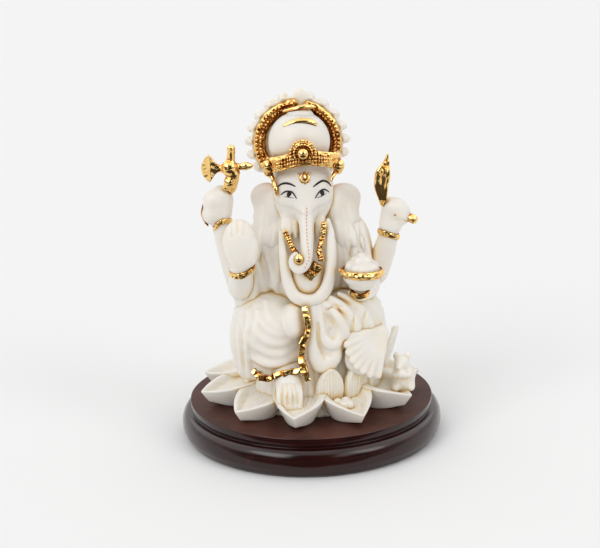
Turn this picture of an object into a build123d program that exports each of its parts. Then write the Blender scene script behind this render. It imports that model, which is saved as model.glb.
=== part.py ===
from build123d import *
import math
import os

# Seated Ganesha idol: a bonded marble-resin figure with gilt trim, on a lotus and a turned wooden plinth.
# Frame: millimetres, +Z up, origin at the centre of the plinth's underside, the figure faces -Y.
# The figure's own right hand is on the -X side. Every piece is a separate solid, cut to sit face to face
# on the pieces that it is bonded or screwed to. Nothing on the idol moves.

# ---- driving dimensions -------------------------------------------------------------------------------------
PLINTH_RADIUS = 50.0          # widest, at the middle of the half-round moulding
PLINTH_HEIGHT = 14.5
TREAD_RADIUS = 46.5           # the raised disc that the lotus stands on
TREAD_STEP = 4.0              # height of that disc above the moulding
FOOT_RADIUS = 48.2            # where the moulding meets the table
FELT_RADIUS = 42.0
FELT_THICKNESS = 1.5
FELT_PROUD = 0.3              # the felt stands this far below the wood

SCREW_SPACING = 24.0          # two screws on the X axis hold the figure to the plinth
SCREW_SHANK_RADIUS = 1.75
SCREW_HEAD_RADIUS = 3.5
SCREW_HEAD_HEIGHT = 2.0
SCREW_LENGTH = 20.0           # under the head
SCREW_HOLE_CLEARANCE = 0.25   # in the wood; the pilot hole in the resin is line to line
COUNTERBORE_DEPTH = 5.0       # above the felt's recess

CORE_RADIUS = 27.0            # the lotus core that the petals grow from
CORE_TOP_RADIUS = 20.0
CORE_HEIGHT = 24.0

MID_X = -1.0                  # the figure's middle plane stands a little off the plinth's axis
CROWN_Z = 113.5
AURA_RADIUS = 17.0
AURA_THICKNESS = 3.0
AURA_X = -2.6
AURA_FACE_Y = 1.0             # front face of the aura plate
BANGLE_WIRE = 1.1

# Petal directions in degrees, 0 towards the viewer's side (-Y) and positive towards +X
OUTER_PETAL_AZIMUTHS = (-8, -42, -74, -106, -138, -168, 160, 130, 98, 62, 26)
INNER_PETAL_AZIMUTHS = (15, 38, 62, 100, 140, 180, 220)

parts = {}
uncut = {}                    # whole forms of pieces whose neighbours are cut by the form before its own cuts


# ---- shape helpers ------------------------------------------------------------------------------------------
def ellipsoid(centre, radii):
    return Pos(*centre) * scale(Sphere(1), by=radii)


def frustum(start, end, start_radius, end_radius):
    """A round bar or cone from start to end."""
    axis = Vector(*end) - Vector(*start)
    plane = Plane(origin=start, z_dir=axis)
    if abs(start_radius - end_radius) < 1e-6:
        return plane * Pos(0, 0, axis.length / 2) * Cylinder(start_radius, axis.length)
    return plane * Pos(0, 0, axis.length / 2) * Cone(start_radius, end_radius, axis.length)


def limb(points, radii):
    """Round-ended bars through the points, each bar tapering from one radius to the next."""
    shape = Pos(*points[0]) * Sphere(radii[0])
    for start, end, start_radius, end_radius in zip(points, points[1:], radii, radii[1:]):
        shape += frustum(start, end, start_radius, end_radius)
        shape += Pos(*end) * Sphere(end_radius)
    return shape


def ring(centre, axis, major, minor):
    return Plane(origin=centre, z_dir=axis) * Torus(major, minor)


def lay(azimuth):
    """A plane on the plinth's axis whose x runs outwards along the azimuth and z runs up."""
    turn = math.radians(azimuth)
    return Plane(origin=(0, 0, 0), x_dir=(math.sin(turn), -math.cos(turn), 0), z_dir=(0, 0, 1))


def face_inside(*lines):
    """The flat face that these lines and arcs close."""
    return make_face([edge for line in lines for edge in line.edges()])


def add(name, shape, against=(), keep=1):
    """Cuts shape to sit on the pieces named in against, keeps its largest solids and files it under name."""
    for other in against:
        shape = shape - uncut.get(other, parts[other])
    solids = sorted(shape.solids(), key=lambda s: s.volume, reverse=True)[:keep]
    parts[name] = solids[0] if keep == 1 else Compound(children=solids)


# ---- plinth, felt and screws --------------------------------------------------------------------------------
def screw_places():
    return [(side * SCREW_SPACING / 2, 0) for side in (-1, 1)]


def make_plinth():
    moulding_top = PLINTH_HEIGHT - TREAD_STEP
    recess_top = FELT_THICKNESS
    with BuildPart() as plinth:
        with BuildSketch(Plane.XZ):
            with BuildLine():
                Polyline((0, recess_top), (FELT_RADIUS, recess_top), (FELT_RADIUS, FELT_PROUD),
                         (FOOT_RADIUS, FELT_PROUD))
                ThreePointArc((FOOT_RADIUS, FELT_PROUD), (PLINTH_RADIUS, moulding_top * 0.48),
                              (TREAD_RADIUS, moulding_top))
                Polyline((TREAD_RADIUS, moulding_top), (TREAD_RADIUS - 0.6, moulding_top),
                         (TREAD_RADIUS - 0.6, moulding_top + 0.5), (TREAD_RADIUS, moulding_top + 0.9),
                         (TREAD_RADIUS, PLINTH_HEIGHT - 0.5), (TREAD_RADIUS - 0.5, PLINTH_HEIGHT),
                         (0, PLINTH_HEIGHT), (0, recess_top))
            make_face()
        revolve(axis=Axis.Z)
    body = plinth.part
    for x, y in screw_places():
        body -= Pos(x, y, PLINTH_HEIGHT / 2) * Cylinder(SCREW_SHANK_RADIUS + SCREW_HOLE_CLEARANCE, PLINTH_HEIGHT)
        body -= Pos(x, y, recess_top + COUNTERBORE_DEPTH / 2) * Cylinder(SCREW_HEAD_RADIUS + 0.5, COUNTERBORE_DEPTH)
    add("plinth", body)
    add("felt_pad", Pos(0, 0, FELT_THICKNESS / 2) * Cylinder(FELT_RADIUS, FELT_THICKNESS))


def make_screws():
    head_base = FELT_THICKNESS + COUNTERBORE_DEPTH - SCREW_HEAD_HEIGHT
    shank_base = head_base + SCREW_HEAD_HEIGHT
    screws = []
    for x, y in screw_places():
        head = Pos(x, y, head_base + SCREW_HEAD_HEIGHT / 2) * Cylinder(SCREW_HEAD_RADIUS, SCREW_HEAD_HEIGHT)
        slot = Pos(x, y, head_base + 0.5) * Box(1.0, 5.0, 1.0)
        cross = Pos(x, y, head_base + 0.5) * Box(5.0, 1.0, 1.0)
        shank = Pos(x, y, shank_base + (SCREW_LENGTH - 3) / 2) * Cylinder(SCREW_SHANK_RADIUS, SCREW_LENGTH - 3)
        point = Pos(x, y, shank_base + SCREW_LENGTH - 1.5) * Cone(SCREW_SHANK_RADIUS, 0.4, 3.0)
        screws.append(head + shank + point - slot - cross)
    parts["fixing_screws"] = Compound(children=[s.solids()[0] for s in screws])


# ---- lotus --------------------------------------------------------------------------------------------------
def make_lotus_core():
    top = PLINTH_HEIGHT + CORE_HEIGHT
    with BuildPart() as core:
        with BuildSketch(Plane.XZ):
            with BuildLine():
                Polyline((0, PLINTH_HEIGHT), (CORE_RADIUS, PLINTH_HEIGHT), (CORE_RADIUS, PLINTH_HEIGHT + 4.5))
                ThreePointArc((CORE_RADIUS, PLINTH_HEIGHT + 4.5), (CORE_RADIUS - 2.5, top - 8),
                              (CORE_TOP_RADIUS, top))
                Polyline((CORE_TOP_RADIUS, top), (0, top), (0, PLINTH_HEIGHT))
            make_face()
        revolve(axis=Axis.Z)
    add("lotus_core", core.part, against=["fixing_screws"])


def sector(azimuth, half_before, half_after, reach=60.0):
    """A tall wedge about the plinth's axis, used to keep each petal on its own side of its neighbours."""
    corners = [(0, 0)]
    for angle in (-half_before, 0, half_after):
        turn = math.radians(angle)
        corners.append((reach * math.cos(turn), reach * math.sin(turn)))
    wedge = extrude(face_inside(Polyline(*corners, close=True)), 60)
    return lay(azimuth) * wedge


def outer_petal(azimuth, half_before, half_after):
    """A thick boat-shaped petal: narrow keel below, wide rim above, dished on top."""
    root, tip, belly = 22.0, 38.5, 30.0
    root_width, half_width, rim = 6.0, 8.4, 8.5
    outline = face_inside(
        Line((root, -root_width), (belly, -half_width)),
        ThreePointArc((belly, -half_width), (36.4, -5.2), (tip, 0)),
        ThreePointArc((tip, 0), (36.4, 5.2), (belly, half_width)),
        Polyline((belly, half_width), (root, root_width), (root, -root_width)),
    )
    boat = Pos(0, 0, PLINTH_HEIGHT) * extrude(outline, rim, taper=-24)
    dish = ellipsoid((29.5, 0, PLINTH_HEIGHT + rim + 1.0), (12.0, 9.2, 4.5))
    return (lay(azimuth) * (boat - dish)) & sector(azimuth, half_before, half_after)


def inner_petal(azimuth):
    """An upright leaf that leans outwards from the core."""
    at_back = 90 < azimuth < 230
    tall = 21.0 if at_back else 17.0
    lean = 16.0 if at_back else 4.0
    base = PLINTH_HEIGHT + 3.0
    foot_half, leaf_half = 4.0, 5.2
    outline = face_inside(
        ThreePointArc((-foot_half, 0), (-leaf_half, tall * 0.45), (0, tall)),
        ThreePointArc((0, tall), (leaf_half, tall * 0.45), (foot_half, 0)),
        Line((foot_half, 0), (-foot_half, 0)),
    )
    leaf = extrude(outline, 1.2, both=True)
    stand = Plane(origin=(CORE_RADIUS + 0.6, 0, base), x_dir=(0, 1, 0), z_dir=(1, 0, 0))
    stand = stand.rotated((-lean, 0, 0))
    return lay(azimuth) * (stand * leaf)


def make_petals():
    order = sorted(a % 360 for a in OUTER_PETAL_AZIMUTHS)
    for number, azimuth in enumerate(OUTER_PETAL_AZIMUTHS, start=1):
        place = order.index(azimuth % 360)
        after = (order[(place + 1) % len(order)] - order[place]) % 360 / 2
        before = (order[place] - order[place - 1]) % 360 / 2
        add(f"outer_petal_{number:02d}", outer_petal(azimuth, before, after), against=["lotus_core"])
    petals = [f"outer_petal_{n:02d}" for n in range(1, len(OUTER_PETAL_AZIMUTHS) + 1)]
    for number, azimuth in enumerate(INNER_PETAL_AZIMUTHS, start=1):
        name = f"inner_petal_{number:02d}"
        add(name, inner_petal(azimuth), against=["lotus_core", *petals])
        petals.append(name)


# ---- figure: legs, torso, head ------------------------------------------------------------------------------
def make_legs():
    """The figure's right leg hangs down at the front, the left one is folded on the seat."""
    right = limb([(-9, 4, 47), (-16.5, -12, 48), (-12, -17, 40)], [14, 12.5, 12])
    add("right_leg", right, against=["lotus_core"])
    left = limb([(8, 4, 47), (16.5, -9, 47), (6, -16, 46)], [14, 12.5, 9])
    add("left_leg", left, against=["lotus_core", "right_leg"])
    foot = Pos(-8, -26.5, 25.5) * Rot(35, 0, 0) * ellipsoid((0, 0, 0), (5.8, 7.5, 4.6))
    petals = [n for n in parts if n.startswith("outer_petal")]
    add("right_foot", foot, against=["lotus_core", "right_leg", *petals])


def make_torso():
    belly = ellipsoid((MID_X, -3, 69), (20.5, 17.5, 24.5))
    shoulders = ellipsoid((MID_X, 2.5, 71), (25.2, 13.2, 18.2))
    uncut["torso"] = belly + shoulders
    add("torso", uncut["torso"], against=["lotus_core", "right_leg", "left_leg"])
    path = [(-9.8, -13.5, 88), (-10, -18, 77), (-8.4, -20.6, 68), (-5.2, -21.6, 63.2), (MID_X, -22, 61.8),
            (3.6, -21.6, 63.2), (6.8, -20.6, 68), (8.2, -18, 77), (8.4, -13.5, 89)]
    add("shawl_roll", limb(path, [2.4] * len(path)), against=["torso", "right_leg", "left_leg"])


def make_head():
    head = ellipsoid((-1.2, -5, 96), (11.6, 12, 12.8))
    add("head", head, against=["torso", "shawl_roll"])
    path = [(-1, -12.5, 93), (-0.8, -18.5, 87), (-0.6, -22.6, 80), (-1.2, -24.4, 73.5),
            (-4.6, -24.6, 71.8), (-6.4, -24.4, 75)]
    trunk = limb(path, [7.2, 4.6, 3.3, 2.6, 2.2, 1.8])
    add("trunk", trunk, against=["head", "torso", "shawl_roll"])
    for side, name in ((-1, "right_ear"), (1, "left_ear")):
        flap = ellipsoid((MID_X + side * 14.6, -3, 91.5), (6.6, 2.6, 9.2))
        add(name, flap, against=["head", "torso"])


# ---- arms and what they hold --------------------------------------------------------------------------------
def make_rear_arms():
    right = limb([(-15, 1, 72), (-25.5, -2, 65), (-30.4, -7.5, 84), (-32.8, -8.8, 92.4)], [6.5, 5.2, 3.4, 5.4])
    left = limb([(14, 1, 72), (25, -2, 63), (30.2, -7.5, 79), (32.6, -8.8, 87.4)], [6.5, 5.2, 3.6, 5.6])
    return right, left


def make_front_arms():
    right_hand = ellipsoid((-23, -24, 80.2), (5.2, 2.8, 8.2))
    right_arm = limb([(-17, -3, 70), (-23, -9, 61.5), (-22.8, -21, 72)], [6.5, 6, 4]) + right_hand
    left_hand = ellipsoid((19.4, -22, 65.2), (6.2, 5.2, 3.4))
    left_arm = limb([(15, -3, 70), (23, -8, 62), (20, -17, 62.5)], [6.5, 6, 4.2]) + left_hand
    return right_arm, left_arm


def make_axe():
    """Handle, ball, spike, a fan-shaped blade to the figure's right and a small poll knob opposite."""
    y = -12.0
    shaft = frustum((-29.4, -11, 90), (-27.6, y, 106), 1.3, 1.3) + frustum((-27.6, y, 106), (-26.9, y, 114.4), 1.1, 0.9)
    shaft += Pos(-26.9, y, 114.4) * Sphere(1.1)
    ball = Pos(-27.6, y, 106.6) * Sphere(2.3)
    poll = limb([(-25, y, 106.8), (-20.6, y, 107)], [1.1, 1.5])
    outline = face_inside(
        Line((-29.0, 106.2), (-34.6, 102.6)),
        ThreePointArc((-34.6, 102.6), (-37.9, 107.4), (-34.8, 112.4)),
        Line((-34.8, 112.4), (-29.0, 108.2)),
        Line((-29.0, 108.2), (-29.0, 106.2)),
    )
    blade = Plane(origin=(0, y, 0), x_dir=(1, 0, 0), z_dir=(0, -1, 0)) * extrude(outline, 0.9, both=True)
    return shaft + ball + poll + blade


def make_goad():
    """A flame-shaped gilt head, and its stem through the fist to a ball end."""
    y = -12.0
    flame = limb([(28.6, y, 93.5), (27.9, y, 99), (28.2, y, 103.5), (29.3, y, 107.4), (29.8, y, 110.2)],
                 [1.6, 2.5, 2.6, 1.4, 0.5])
    stem = limb([(28.6, y, 94), (31.5, -10, 89.5), (38.9, -10.5, 86)], [1.2, 1.2, 1.2])
    return flame + stem + Pos(38.9, -10.5, 86) * Sphere(2.0)


def make_arms():
    """Gilt pieces first, so that the arms are cut to sit round them."""
    right_rear, left_rear = make_rear_arms()
    right_front, left_front = make_front_arms()
    add("axe", make_axe())
    add("goad", make_goad())
    bangles = {
        "right_rear_bangle": ((-30.2, -7.3, 83.6), (-4.9, -5.5, 19), 3.3),
        "left_rear_bangle": ((30.0, -7.3, 78.0), (5.2, -5.5, 16), 3.6),
        "right_front_bangle": ((-22.8, -20.6, 71.4), (0, -9, 10), 4.3),
        "left_front_bangle": ((20.1, -16.5, 62.4), (-3, -9, 0.5), 4.4),
    }
    for name, (centre, axis, major) in bangles.items():
        add(name, ring(centre, axis, major, BANGLE_WIRE))
    body = ["torso", "right_leg", "left_leg", "shawl_roll"]
    add("right_front_arm", right_front, against=[*body, "right_front_bangle"])
    add("left_front_arm", left_front, against=[*body, "left_front_bangle"])
    add("right_rear_arm", right_rear, against=[*body, "right_ear", "right_front_arm", "right_rear_bangle", "axe"])
    add("left_rear_arm", left_rear, against=[*body, "left_ear", "left_front_arm", "left_rear_bangle", "goad"])
    for name in bangles:
        add(name, parts[name], against=[n for n in body if n in parts])


def make_bowl():
    x, y, rim_z, radius = 19.3, -24.0, 69.8, 7.8
    cup = Pos(x, y, rim_z) * Sphere(radius) & Pos(x, y, rim_z - radius / 2) * Box(30, 30, radius)
    cup -= Pos(x, y, rim_z) * Sphere(radius - 1.4)
    rim = ring((x, y, rim_z), (0, 0, 1), radius, 0.9)
    add("bowl_rim", rim, against=["torso", "shawl_roll"])
    add("bowl", cup, against=["bowl_rim", "left_front_arm", "left_leg", "torso", "left_front_bangle"])
    heap = Pos(x, y, rim_z - 0.6) * Sphere(radius - 1.6)
    places = [(x, y, rim_z + 5.6)]
    places += [(x + 4.2 * math.cos(t), y + 4.2 * math.sin(t), rim_z + 3) for t in (0, 1.26, 2.51, 3.77, 5.03)]
    for place in places:
        heap += Pos(*place) * Sphere(2.5)
    add("bowl_sweets", heap, against=["bowl", "bowl_rim", "torso", "shawl_roll", "left_front_arm"])


# ---- crown and aura -----------------------------------------------------------------------------------------
def make_aura():
    """A scalloped plate behind the crown, with a gilt horseshoe on its face that is open at the top."""
    centre = (AURA_X, CROWN_Z - 0.7)
    plate = Pos(*centre) * Circle(AURA_RADIUS)
    for step in range(-7, 8):
        if step:
            turn = math.radians(90 + step * 17.5)
            knob = Circle(2.1)
            plate += Pos(centre[0] + 17.1 * math.cos(turn), centre[1] + 17.1 * math.sin(turn)) * knob
    plate += Pos(MID_X, centre[1] + 17.5) * Rectangle(5.6, 5.0)
    plate += Pos(MID_X, centre[1] + 18.3) * Circle(2.0)
    face = Plane(origin=(0, AURA_FACE_Y, 0), x_dir=(1, 0, 0), z_dir=(0, -1, 0))
    solid = face * extrude(plate, -AURA_THICKNESS)
    add("aura_plate", solid, against=["head", "right_ear", "left_ear", "torso"])
    band = Pos(*centre) * (Circle(15.8) - Circle(12.4))
    opening = Pos(centre[0], centre[1] + 14) * Rectangle(6.4, 8)
    add("aura_ring", face * extrude(band - opening, 1.8), against=["head", "right_ear", "left_ear"], keep=2)


def make_crown():
    dome = ellipsoid((-2, -4, CROWN_Z + 0.5), (11.2, 11, 11.2))
    knob = ellipsoid((-1.6, -3.4, CROWN_Z + 10), (5.8, 5.4, 4.6))
    lower = ring((-1.6, -4.2, CROWN_Z + 9.3), (0, 0.55, 1), 5.6, 0.8)
    upper = ring((-1.4, -3.0, CROWN_Z + 13.4), (0, 0.35, 1), 2.9, 0.7)
    band = ring((-0.9, -4.6, CROWN_Z - 4.8), (0, 0.22, 1), 12.2, 1.9)
    medal = frustum((-0.8, -15.4, CROWN_Z - 1), (-0.8, -18.4, CROWN_Z - 0.6), 4.6, 4.2)
    medal += Pos(-0.8, -18.6, CROWN_Z - 0.6) * Sphere(1.9)
    add("crown_dome", dome, against=["head", "aura_plate", "aura_ring"])
    add("crown_knob", knob, against=["crown_dome", "aura_plate", "aura_ring"])
    add("crown_rings", lower + upper, against=["crown_dome", "crown_knob", "aura_plate"], keep=2)
    add("crown_medallion", medal, against=["head", "crown_dome"])
    add("crown_band", band, against=["head", "crown_dome", "crown_medallion", "aura_plate", "aura_ring",
                                     "right_ear", "left_ear"])
    ornaments = []
    for side, x, top in ((-1, -13.6, 107.3), (1, 11.9, 107.8)):
        ball = Pos(x, -9.6, top) * Sphere(2.2) + Pos(x + 0.1 * side, -9.6, top - 3.2) * Sphere(1.5)
        drop = frustum((x - 1.6 * side, -10.4, top - 4), (x - 3.2 * side, -14.6, top - 8.6), 0.9, 0.7)
        ornaments.append(ball + drop)
    add("crown_side_ornaments", ornaments[0] + ornaments[1],
        against=["head", "crown_dome", "crown_band", "right_ear", "left_ear", "aura_ring"], keep=2)
    tilak = Pos(-0.4, -16.2, CROWN_Z - 10.2) * Box(4.4, 2.4, 4.0)
    add("tilak", tilak, against=["head", "crown_band", "crown_medallion"])


# ---- gilt trim and small pieces -----------------------------------------------------------------------------
def make_trim():
    right_strand = limb([(-8.4, -17.6, 84), (-3.6, -20.6, 76.6)], [1.3, 1.3])
    left_strand = limb([(6.2, -17.2, 86), (4.4, -20.8, 77.2)], [1.3, 1.3])
    neighbours = ["torso", "head", "trunk", "shawl_roll"]
    add("necklace", right_strand + left_strand, against=neighbours, keep=2)
    add("pendant", limb([(1.8, -23.4, 72.6), (1.6, -23.4, 69.6)], [2.4, 2.8]), against=[*neighbours, "necklace"])
    add("trunk_sweet", Pos(-3.2, -25.6, 75.8) * Sphere(1.9), against=["trunk", "torso", "pendant"])
    edge = limb([(-2.2, -24.5, 57.4), (-1.6, -26.6, 49), (-2.6, -28.2, 41), (-1.0, -27.8, 33)], [1.5] * 4)
    cuff = limb([(-21, -24.8, 32.2), (-16.5, -27.4, 30.8), (-11.5, -28.6, 33.2), (-3.4, -28.4, 34.2)], [1.4] * 4)
    legs = ["right_leg", "left_leg", "right_foot", "torso", "shawl_roll"]
    add("dhoti_hem", edge + cuff, against=legs)


def make_sash_fan():
    outline = face_inside(Polyline((26.5, 46), (13.2, 43.2), (14.6, 38), (18.5, 34), (24.6, 30.8), (27.5, 33),
                                   close=True))
    cloth = Plane(origin=(0, -19, 0), x_dir=(1, 0, 0), z_dir=(0, -1, 0)) * extrude(outline, 6)
    petals = [n for n in parts if "petal" in n]
    add("sash_fan", cloth, against=["left_leg", "lotus_core", *petals])


def make_mouse_and_offering():
    petals = [n for n in parts if "petal" in n]
    body = ellipsoid((35.4, -13.6, 25.2), (4.6, 4.4, 5.0))
    head = ellipsoid((34.6, -15.6, 30.4), (3.0, 3.6, 2.8))
    ears = Pos(32.6, -14.2, 32.8) * Sphere(1.4) + Pos(36.6, -14.2, 32.8) * Sphere(1.4)
    add("mouse", body + head + ears, against=["lotus_core", *petals])
    sweets = [Pos(x, y, 21.2) * Sphere(1.8) for x, y in ((9.4, -28.6), (13.4, -27.6), (12.2, -31.6))]
    add("petal_offering", Compound(children=sweets), against=["outer_petal_11", "inner_petal_01"], keep=3)


def main():
    make_plinth()
    make_screws()
    make_lotus_core()
    make_petals()
    make_legs()
    make_torso()
    make_head()
    make_arms()
    make_bowl()
    make_aura()
    make_crown()
    make_trim()
    make_sash_fan()
    make_mouse_and_offering()
    os.makedirs("parts", exist_ok=True)
    for name, shape in parts.items():
        export_step(shape, f"parts/{name}.step")


main()
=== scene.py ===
import math
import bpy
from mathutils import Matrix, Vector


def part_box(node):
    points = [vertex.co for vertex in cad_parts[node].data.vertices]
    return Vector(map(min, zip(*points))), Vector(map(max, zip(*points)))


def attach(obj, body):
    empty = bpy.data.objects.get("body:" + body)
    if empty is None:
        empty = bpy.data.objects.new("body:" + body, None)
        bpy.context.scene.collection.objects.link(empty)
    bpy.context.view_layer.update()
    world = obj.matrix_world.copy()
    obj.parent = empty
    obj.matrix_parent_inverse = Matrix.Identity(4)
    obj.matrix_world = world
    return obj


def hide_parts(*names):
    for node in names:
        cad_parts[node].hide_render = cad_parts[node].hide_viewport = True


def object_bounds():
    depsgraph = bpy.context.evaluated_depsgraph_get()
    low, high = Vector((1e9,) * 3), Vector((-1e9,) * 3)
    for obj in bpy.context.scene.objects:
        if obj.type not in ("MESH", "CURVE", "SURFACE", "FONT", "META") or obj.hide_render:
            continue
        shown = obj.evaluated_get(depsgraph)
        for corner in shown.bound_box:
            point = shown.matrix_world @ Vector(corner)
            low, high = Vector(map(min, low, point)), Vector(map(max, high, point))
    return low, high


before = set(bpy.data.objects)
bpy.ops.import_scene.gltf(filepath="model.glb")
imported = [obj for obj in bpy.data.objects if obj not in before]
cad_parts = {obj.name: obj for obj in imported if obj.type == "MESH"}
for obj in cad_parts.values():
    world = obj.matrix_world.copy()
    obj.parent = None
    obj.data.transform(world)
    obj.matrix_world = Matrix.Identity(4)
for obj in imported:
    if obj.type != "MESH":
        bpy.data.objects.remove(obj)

from concurrent.futures import ThreadPoolExecutor

import bpy
import numpy as np
from mathutils import Euler, Matrix, Vector

# Lengths in the sculpting code are millimetres. Meshes are written in metres.
MM = 0.001
cad_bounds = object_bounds()
BODY_STEP = 0.36      # grid of the large white pieces
SMALL_STEP = 0.26     # grid of hands, ears and petals
GILT_STEP = 0.17      # grid of the gilt pieces
PAINT_STEP = 0.1       # grid of the brush strokes
CORES = 4
FAR = 50.0           # a field's value before any form is added
OUTSIDE = 9.0        # stands for any large distance from the surface
FORM_MARGIN = 1.2    # a form still counts this far past its box
# How far out each point is probed for other surfaces, and what share of the crease depth that gives.
CREASE_PROBES = ((0.5, 0.3), (1.3, 0.35), (2.8, 0.35))
PROBE_MARGIN = 3.5   # a little more than the longest probe
LOOK = np.array([0.0, 0.959, -0.284])    # the way details are pressed on to the front of the figure


# ---- places from the frame -----------------------------------------------------------------------
class Spot:
    """The middle of a CAD node's box. Calling it gives a place at an offset from there, in millimetres."""

    def __init__(self, node):
        low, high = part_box(node)
        self.low = np.array(tuple(low)) / MM
        self.high = np.array(tuple(high)) / MM
        self.middle = (self.low + self.high) / 2

    def __call__(self, x, y, z):
        return self.middle + (x, y, z)

    def line(self, points):
        return [self.middle + p for p in points]


# ---- clay: solids as distance fields, joined softly, then skinned with a mesh --------------------
def column(point):
    return np.array(point, np.float32).reshape(3, 1)


def curve_through(points, radii, steps=5):
    """A Catmull-Rom curve through the points, with its radius at each step."""
    table = np.column_stack([np.array(points, float), np.array(radii, float)])
    padded = np.vstack([2 * table[0] - table[1], table, 2 * table[-1] - table[-2]])
    rows = []
    for a, b, c, d in zip(padded, padded[1:], padded[2:], padded[3:]):
        for t in np.arange(steps) / steps:
            rows.append(0.5 * (2 * b + (c - a) * t + (2 * a - 5 * b + 4 * c - d) * t**2
                               + (3 * b - a - 3 * c + d) * t**3))
    rows.append(table[-1])
    rows = np.array(rows)
    return rows[:, :3], np.maximum(rows[:, 3], 0.05)


def soft_min(a, b, k):
    if k <= 0:
        return np.minimum(a, b)
    h = np.maximum(k - np.abs(a - b), 0)
    return np.minimum(a, b) - h * h * (0.25 / k)


def turned(turn):
    """Rows are the local axes of something turned by (x, y, z) degrees."""
    return np.array(Euler([math.radians(a) for a in turn]).to_matrix(), np.float32).T


def egg_field(centre, radii, turn=(0, 0, 0)):
    centre, radii, axes = column(centre), column(radii), turned(turn)

    def measure(p):
        q = axes @ (p - centre)
        near = np.sqrt(((q / radii) ** 2).sum(0))
        slope = np.sqrt(((q / radii**2) ** 2).sum(0)) + 1e-4
        return near * (near - 1) / slope

    return measure


def tube_field(points, radii, flat=None):
    """A chain of cones. flat = (normal, share) squashes its section along that direction."""
    squeeze = np.eye(3, dtype=np.float32)
    if flat:
        normal = np.array(flat[0], float) / np.linalg.norm(flat[0])
        squeeze = (np.eye(3) + (1 / flat[1] - 1) * np.outer(normal, normal)).astype(np.float32)
    nodes = (squeeze @ np.array(points, np.float32).T).T
    spans = []
    for a, b, ra, rb in zip(nodes, nodes[1:], radii, radii[1:]):
        along = b - a
        spans.append((a.reshape(3, 1), along.reshape(3, 1), float(along @ along) + 1e-9, ra, rb - ra))

    def measure(p):
        q = squeeze @ p if flat else p
        best = None
        for a, along, square, ra, grow in spans:
            v = q - a
            t = np.clip((v * along).sum(0) / square, 0, 1)
            v = v - along * t
            d = np.sqrt((v * v).sum(0)) - (ra + grow * t)
            best = d if best is None else np.minimum(best, d)
        return best * flat[1] if flat else best

    return measure


def box_field(centre, half, turn=(0, 0, 0), corner=0.3):
    centre, half, axes = column(centre), column(half) - corner, turned(turn)

    def measure(p):
        q = np.abs(axes @ (p - centre)) - half
        return np.sqrt((np.maximum(q, 0) ** 2).sum(0)) + np.minimum(q.max(0), 0) - corner

    return measure


def ring_field(centre, axis, major, minor):
    centre = column(centre)
    normal = np.array(axis, np.float32) / np.linalg.norm(axis)
    normal = normal.reshape(3, 1).astype(np.float32)

    def measure(p):
        v = p - centre
        up = (v * normal).sum(0)
        out = np.sqrt(np.maximum((v * v).sum(0) - up * up, 0)) - major
        return np.sqrt(out * out + up * up) - minor

    return measure


def disc_field(centre, axis, radius, half, corner=0.3):
    centre = column(centre)
    normal = (np.array(axis, float) / np.linalg.norm(axis)).astype(np.float32).reshape(3, 1)

    def measure(p):
        v = p - centre
        up = (v * normal).sum(0)
        out = np.sqrt(np.maximum((v * v).sum(0) - up * up, 0)) - radius + corner
        up = np.abs(up) - half + corner
        past = np.sqrt(np.maximum(out, 0) ** 2 + np.maximum(up, 0) ** 2)
        return past + np.minimum(np.maximum(out, up), 0) - corner

    return measure


class Clay:
    """A solid built up from forms in order. A form adds to, cuts or bends what is there."""

    def __init__(self, blend=0.8):
        self.blend = blend
        self.forms = []
        self.low = np.full(3, 1e9)
        self.high = np.full(3, -1e9)

    def put(self, how, measure, low, high, blend=None):
        low, high = np.array(low, float), np.array(high, float)
        blend = self.blend if blend is None else blend
        self.forms.append((how, measure, low, high, blend))
        if how == "add":
            self.low = np.minimum(self.low, low)
            self.high = np.maximum(self.high, high)
        return self

    def egg(self, centre, radii, turn=(0, 0, 0), blend=None, how="add"):
        reach = max(radii) if any(turn) else np.array(radii, float)
        centre = np.array(centre, float)
        return self.put(how, egg_field(centre, radii, turn), centre - reach, centre + reach, blend)

    def ball(self, centre, radius, blend=None):
        return self.egg(centre, (radius, radius, radius), blend=blend)

    def tube(self, points, radii, blend=None, how="add", steps=5, flat=None):
        if not hasattr(radii, "__len__"):
            radii = [radii] * len(points)
        if len(points) > 2:
            line, girth = curve_through(points, radii, steps)
        else:
            line, girth = np.array(points, float), list(radii)
        reach = max(girth)
        return self.put(how, tube_field(line, girth, flat), line.min(0) - reach, line.max(0) + reach, blend)

    def box(self, centre, half, turn=(0, 0, 0), corner=0.3, blend=None, how="add"):
        reach = np.linalg.norm(half) if any(turn) else np.array(half, float)
        centre = np.array(centre, float)
        return self.put(how, box_field(centre, half, turn, corner), centre - reach, centre + reach, blend)

    def ring(self, centre, axis, major, minor, blend=None):
        centre = np.array(centre, float)
        reach = major + minor
        return self.put("add", ring_field(centre, axis, major, minor), centre - reach, centre + reach, blend)

    def disc(self, centre, axis, radius, half, blend=None):
        centre = np.array(centre, float)
        low, high = centre - radius, centre + radius
        return self.put("add", disc_field(centre, axis, radius, half), low, high, blend)

    def field(self, p, everywhere=False):
        """Distance to the surface at the points, which are the columns of p. Far forms are left out."""
        d = np.full(p.shape[1], FAR, np.float32)
        low, high = p.min(1), p.max(1)
        for how, measure, form_low, form_high, blend in self.forms:
            if how == "bend":
                d = d + measure(p)
                continue
            if not everywhere:
                reach = blend + FORM_MARGIN
                if (form_low > high + reach).any() or (form_high < low - reach).any():
                    continue
            e = measure(p)
            if how == "add":
                d = soft_min(d, e, blend)
            else:
                d = -soft_min(-d, e, blend)
        return d


def in_chunks(work, points, size=32768):
    """Runs work on slices of the points on all cores and joins the results."""
    slices = [points[:, i:i + size] for i in range(0, points.shape[1], size)]
    with ThreadPoolExecutor(CORES) as pool:
        return np.concatenate(list(pool.map(work, slices)), axis=-1)


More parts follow.
